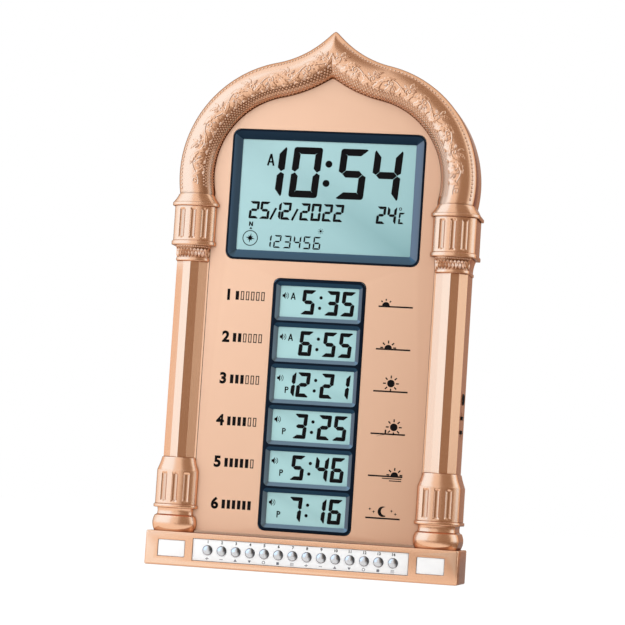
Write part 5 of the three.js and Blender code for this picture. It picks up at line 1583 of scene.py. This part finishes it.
def buildCaps():
    c = cap
    radius, rim = c["radius"], c["rim"]
    base = rim - 0.16
    profile = [(radius * 0.93 * math.sin(t), base - (base - c["top"]) * math.cos(t))
               for t in quarterTurns(12)]
    # a fine groove and a rounded edge, then the barrel, the flange and the stem
    edge = ((0.945, -0.08), (0.96, -0.12), (0.985, -0.08), (1, 0.08))
    profile += [(radius * share, rim + back) for share, back in edge]
    profile += [(radius, c["flangeFront"]), (c["flange"], c["flangeFront"]),
                (c["flange"], c["flangeBack"]), (c["stem"], c["flangeBack"]), (c["stem"], c["stemEnd"])]
    template = templatePiece("capTemplate", turnedShape(profile, 0, 0, 40))
    for i, x in enumerate(buttonXs):
        piece = repeat(f"buttonCap{i + 1}", template, [(x, 0, strip["buttonZ"])], finishes["chromeCap"],
                       keepTemplate=True)
        spots = pointsOf(piece.data) - (x, 0, strip["buttonZ"])
        turned = (spots[:, 0] * 0.95 + spots[:, 2] * 0.3) / radius  # the side away from the light is dark
        setPaintedShade(piece.data, 0.92 * np.clip((turned - 0.18) / 0.5, 0, 1))
        settle(piece, f"cap_{i + 1}", "chrome_cap", f"button_{i + 1}")
    bpy.data.objects.remove(template)
    print("button caps")


def buildPlaques():
    p = plinth["plaque"]
    rows = [(0.35, 0.4), (0.12, 0.45), (0, 0.62), (0, 1.2)]
    for way, name in ((-1, "left"), (1, "right")):
        shape = slabShape(p["width"] - 0.4, p["height"] - 0.4, 0.5, way * p["x"], p["z"], rows, 5)
        plate = meshPiece(name + "Plaque", *shape, finishes["whiteSheet"])
        settle(plate, "case", "white_sheet", name + "_plaque")
    print("plaques")


buildStrip()
buildCaps()
buildPlaques()


# Rear cover, battery door, screws and side controls

cover = {
    "inset": 2.0, "slope": 3.4, "front": 32.3, "shoulder": 36.6, "back": 40.0, "bottom": 20.8, "wall": 2.2,
    "footX": 90.1, "screwRecess": 3.1, "speakerZ": 168.0, "speakerRing": (25.3, 26.9, 33.8, 38.1),
    "grilleReach": 20.5, "slots": 9, "slotPitch": 4.6, "slotWidth": 2.0,
    "keyhole": (52.0, 252.0, 4.2, 2.2, 9.0),  # place, radius of the head and of the slot, length
    "bay": (22.2, 90.0, 28.75, 23.8, 2.4),  # half width, height, half length, floor, wall
    "door": (23.7, 90.0, 30.25, 38.4),  # half width, height, half length, front
    "tongue": (-92.9, 92.9, 37.8, 39.98, 2.5, 18.1), "neck": (-85.9, 85.9, 37.8, 39.96, 15.9, 22.9),
}


def coverRing(inset, y, bottom):
    foot = cover["footX"] - inset
    line = archLine(arch["halfWidth"] - inset)
    return [(x, y, z) for x, z in [(-foot, bottom), (-foot, 120), *line, (foot, 120), (foot, bottom)]]


def coverShape():
    # from the inside of the back over the front edge to the sloped rim and the back
    c = cover
    bottom, wall, inset, slope = c["bottom"], c["wall"], c["inset"], c["slope"]
    rings = [coverRing(inset + wall + 2.3, c["back"] - wall, bottom + wall),
             coverRing(inset + wall, c["shoulder"], bottom + wall),
             coverRing(inset + wall, c["front"], bottom + wall), coverRing(inset, c["front"], bottom)]
    for i, t in enumerate(quarterTurns(6)):
        rings.append(coverRing(inset + slope * (1 - math.cos(t)) ** 1.25, c["shoulder"] + slope * math.sin(t),
                               bottom + 0.3 * i / 6))
    rings.append(coverRing(inset + slope + 1.2, c["shoulder"] + slope, bottom + 0.8))
    return loft(rings)


def keyholeShape(way):
    keyX, keyZ, head, slot, long = cover["keyhole"]
    lower = math.acos(slot / head)
    outline = [(way * keyX + head * math.cos(t), keyZ + head * math.sin(t))
               for t in np.linspace(lower, -math.pi - lower, 30)]
    outline += [(way * keyX + slot * math.cos(t), keyZ + long + slot * math.sin(t))
                for t in np.linspace(math.pi, 0, 12)]
    return loft([[(x, y, z) for x, z in outline] for y in (37, 41)])


def stadiumShape(half, reach):
    # upright slot with round ends, deep enough to pass through the cover
    turns = [math.radians(180 * i / 8) for i in range(9)]
    outline = [(half * math.cos(t), reach + half * math.sin(t)) for t in turns]
    outline += [(-half * math.cos(t), -reach - half * math.sin(t)) for t in turns]
    flare = lambda out, y: [(x + math.copysign(out, x), y, z + math.copysign(out, z)) for x, z in outline]
    return loft([flare(0, -2), flare(0, 0.7), flare(0.3, 1.02), flare(0.3, 1.6)])


def ringTube(inner, outer, y0, y1, x, z, sides=72):
    rows = ((inner, y0), (outer, y0), (outer, y1), (inner, y1))
    rings = [discRing(radius, x, z, y, sides) for radius, y in rows]
    last = 3 * sides
    faces = ringFaces(4, sides)
    faces += [(last + i, last + (i + 1) % sides, (i + 1) % sides, i) for i in range(sides)]
    return np.array(rings).reshape(-1, 3), faces


def buildCover():
    c = cover
    shell = meshPiece("coverShell", *coverShape())
    x, z, length, floor, thick = c["bay"]
    walls = (-x - thick, x + thick, floor - thick, 38.9, z - length - thick, z + length + thick)
    for name, box in (("tongue", c["tongue"]), ("neck", c["neck"]), ("bayWalls", walls)):
        combine(shell, meshPiece(name, *boxShape(*box)), "UNION")
    doorX, doorZ, doorLength, doorFront = c["door"]
    gap = 0.2
    recess = c["screwRecess"]
    bore = [(recess, 37.1), (recess, 39.6), (recess + 0.45, 40.05), (recess + 0.5, 40.6)]
    cut(shell, [boxShape(-x, x, floor, 41, z - length, z + length),
                boxShape(-doorX - gap, doorX + gap, doorFront - gap, 41, doorZ - doorLength - gap,
                         doorZ + doorLength + gap),
                joinShapes([turnedShape(bore, px, pz, 32) for px, pz in screwPlaces]),
                keyholeShape(-1), keyholeShape(1)])
    slots, half = [], c["slotWidth"] / 2
    for i in range(c["slots"]):
        px = (i - (c["slots"] - 1) / 2) * c["slotPitch"]
        reach = math.sqrt(c["grilleReach"] ** 2 - px ** 2) - half
        slot = templatePiece("slotTemplate", stadiumShape(half, reach))
        slots.append(repeat("slotCutter", slot, [(px, 39, c["speakerZ"])], None))
    combine(shell, merge("slotCutters", slots))
    paint(shell, "roseCover")
    shade(shell.data, 28)
    ring = meshPiece("speakerRing", *ringTube(*c["speakerRing"], 0, c["speakerZ"]), finishes["roseCover"])
    settle(merge("rearCover", [shell, ring]), "case", "rose_cover", "rear_cover")
    print("rear cover")


door = {"latchX": 7.0, "latchSlot": 1.0, "latchLong": 9.0, "grooves": 5, "groovePitch": 1.25,
        "grooveDeep": 0.35}


def buildDoor():
    x, z, length, front = cover["door"]
    rows = [(0, front), (0, 39.65), (0.1, 39.88), (0.35, 40.0)]
    plate = meshPiece("batteryDoor", *slabShape(2 * x, 2 * length, 0.8, 0, z, rows, 6))
    latchX, half, low = door["latchX"], door["latchSlot"] / 2, z - length
    cut(plate, [joinShapes([boxShape(way * latchX - half, way * latchX + half, 38, 41, low - 1,
                                     low + door["latchLong"]) for way in (-1, 1)])])
    groove = templatePiece("grooveTemplate", boxShape(-latchX + 1.6, latchX - 1.6, -door["grooveDeep"], 1,
                                                      -0.35, 0.35))
    places = [(0, 40, low + 2.2 + i * door["groovePitch"]) for i in range(door["grooves"])]
    combine(plate, repeat("grooves", groove, places, None))
    arrow = [(0, 13), (4.0, 17.5), (1.4, 17.5), (1.4, 21.5), (-1.4, 21.5), (-1.4, 17.5), (-4.0, 17.5)]
    cut(plate, [loft([[(px, y, low + up) for px, up in arrow] for y in (39.7, 41)])])
    paint(plate, "roseCover")
    shade(plate.data, 28)
    settle(plate, "door", "rose_cover", "battery_door")
    print("battery door")


screw = {"head": 2.9, "edge": 0.5, "shank": 1.5, "headFront": 37.3, "headBack": 39.0, "end": 25.0,
         "pitch": 0.7, "cross": (0.55, 1.75, 1.0)}


def screwTemplate():
    s = screw
    profile = [(0.2, s["end"] - 0.6)]
    for i in range(15, -1, -1):
        at = s["headFront"] - s["pitch"] * i
        profile += [(s["shank"] * 0.78, at - s["pitch"] / 2), (s["shank"], at)]
    shoulder = s["headFront"] + s["edge"]
    profile += [(s["head"], s["headFront"]), (s["head"], shoulder)]
    profile += [(s["head"] * math.cos(t) + 1e-3, shoulder + (s["headBack"] - shoulder) * math.sin(t))
                for t in quarterTurns(8)]
    head = meshPiece("screwHead", *turnedShape(profile, 0, 0, 32))
    narrow, reach, deep = s["cross"]
    narrow = narrow / 2 + 0.05
    for a, b in ((narrow, reach), (reach, narrow)):
        cut(head, [boxShape(-a, a, s["headBack"] - deep, s["headBack"] + 1, -b, b)])
    shape = pointsOf(head.data), [tuple(face.vertices) for face in head.data.polygons]
    bpy.data.objects.remove(head)
    return templatePiece("screwTemplate", shape)


def buildScrews():
    turns = [(0, math.radians(37 * i + 11), 0) for i in range(len(screwPlaces))]
    places = [(x, 0, z) for x, z in screwPlaces]
    screws = repeat("coverScrews", screwTemplate(), places, finishes["steel"], turns)
    settle(screws, "case", "steel", *[f"cover_screw_{i + 1}" for i in range(len(screwPlaces))])
    print("cover screws")


side = {
    "wallX": 90.1, "face": 87.7, "jack": (21.0, 111.0), "body": (9.0, 11.0, 13.6), "bore": 3.0,
    "boreDeep": 9.5, "pin": 1.0, "pinLong": 7.5, "notchPitch": 0.62, "notch": 0.15,
    "switchSigns": ((100.6, 1), (90.1, 2)),
}


def buildJack():
    s = side
    y, z = s["jack"]
    width, height, length = s["body"]
    face, bore, end = s["face"], s["bore"], s["face"] - s["boreDeep"]
    lip = [(bore, face - 0.6), (bore + 0.02, 90.45), (bore + 0.2, 90.7), (3.3, 90.7), (3.46, 90.55),
           (3.46, face - 0.6)]
    collar = meshPiece("jackCollar", *crossShape(lip, y, z, 36))
    body = meshPiece("jackBody", *boxShape(face - length, face, y - height / 2, y + height / 2, z - width / 2,
                                           z + width / 2))
    cut(body, [crossShape([(bore, end), (bore, face - 0.4), (bore + 0.35, face), (bore + 0.35, face + 1)],
                          y, z, 36)])
    paint(collar, "blackPlastic")
    paint(body, "blackPlastic")
    shade(body.data, 28)
    tip = [(s["pin"], end - 0.2), (s["pin"], end + s["pinLong"] - 0.5), (s["pin"] * 0.6, end + s["pinLong"])]
    liner = [(bore - 0.02, end - 0.1), (bore - 0.02, end + 0.1)]
    metal = [meshPiece("jackPin", *crossShape(tip, y, z, 24), finishes["steel"]),
             meshPiece("jackLiner", *crossShape(liner, y, z, 36), finishes["steel"])]
    settle(merge("powerSocket", [body, collar, *metal]), "case", "black_plastic", "dc_jack")


def buildKnob(name):
    # takes the place and size of the node's own knob
    low, high = [np.array(corner) * 1000 - (0, frontY, 0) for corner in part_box("switch_knob_" + name)]
    mid, half = (low + high) / 2, (high - low) / 2
    corners = ((-1, -1), (1, -1), (1, 1), (-1, 1))
    rows = [(0, low[0]), (0, high[0] - 0.2), (0.2, high[0])]
    knob = meshPiece("slideKnob" + name.title(), *loft([
        [(x, mid[1] + a * (half[1] - inset), mid[2] + b * (half[2] - inset)) for a, b in corners]
        for inset, x in rows]))
    notches = [mid[2] + k * side["notchPitch"] for k in (-1, 0, 1)]
    cut(knob, [joinShapes([boxShape(high[0] - 0.35, high[0] + 1, low[1] - 1, high[1] + 1, z - side["notch"],
                                    z + side["notch"]) for z in notches])])
    paint(knob, "blackPlastic")
    shade(knob.data, 28)
    settle(knob, "knob_" + name, "black_plastic", "switch_knob_" + name)


def buildSideSigns():
    # flat signs on the right side, from (depth, height) points
    jackZ = side["jack"][1]
    outlines = ringOutlines(27.6, jackZ, 0.9, 0.3) + [disc(27.6, jackZ, 0.35, 14)]
    outlines += [stroke(28.5, jackZ, 29.6, jackZ, 0.28), stroke(25.4, jackZ, 26.7, jackZ, 0.28)]
    for z, marks in side["switchSigns"]:
        outlines += [disc(26.3, z + 1.7, 0.55, 16)] + ringOutlines(26.3, z - 1.7, 0.5, 0.22)
        lines = [z - 0.9 * (marks - 1) + 1.8 * k for k in range(marks)]
        outlines += [stroke(28.2, line, 29.6, line, 0.4) for line in lines]
    plates = [loft([[(side["wallX"] + out, py, pz) for py, pz in outline] for out in (-0.01, 0.014)])
              for outline in outlines]
    settle(meshPiece("sideSigns", *joinShapes(plates), finishes["print"], 30), "case", "rose_shell")


buildCover()
buildDoor()
buildScrews()
buildJack()
buildKnob("upper")
buildKnob("lower")
buildSideSigns()
print("side controls")


# Finishes of the pieces that keep their own shape

dress("peachPanel", "face_panel")
dress("diffuser", "main_backlight", "times_backlight")
dress("circuitBoard", "main_board", "button_board", "side_board")
dress("steel", "contact_negative", "contact_bridge_top", "contact_bridge_bottom", "contact_positive",
      *[f"board_screw_{i + 1}" for i in range(4)])
dress("blackPlastic", "speaker_basket", "switch_body_upper", "switch_body_lower")
dress("ferrite", "speaker_magnet")
dress("paperCone", "speaker_cone")
dress("cellWrap", "battery_1", "battery_2", "battery_3")
print("inner pieces")
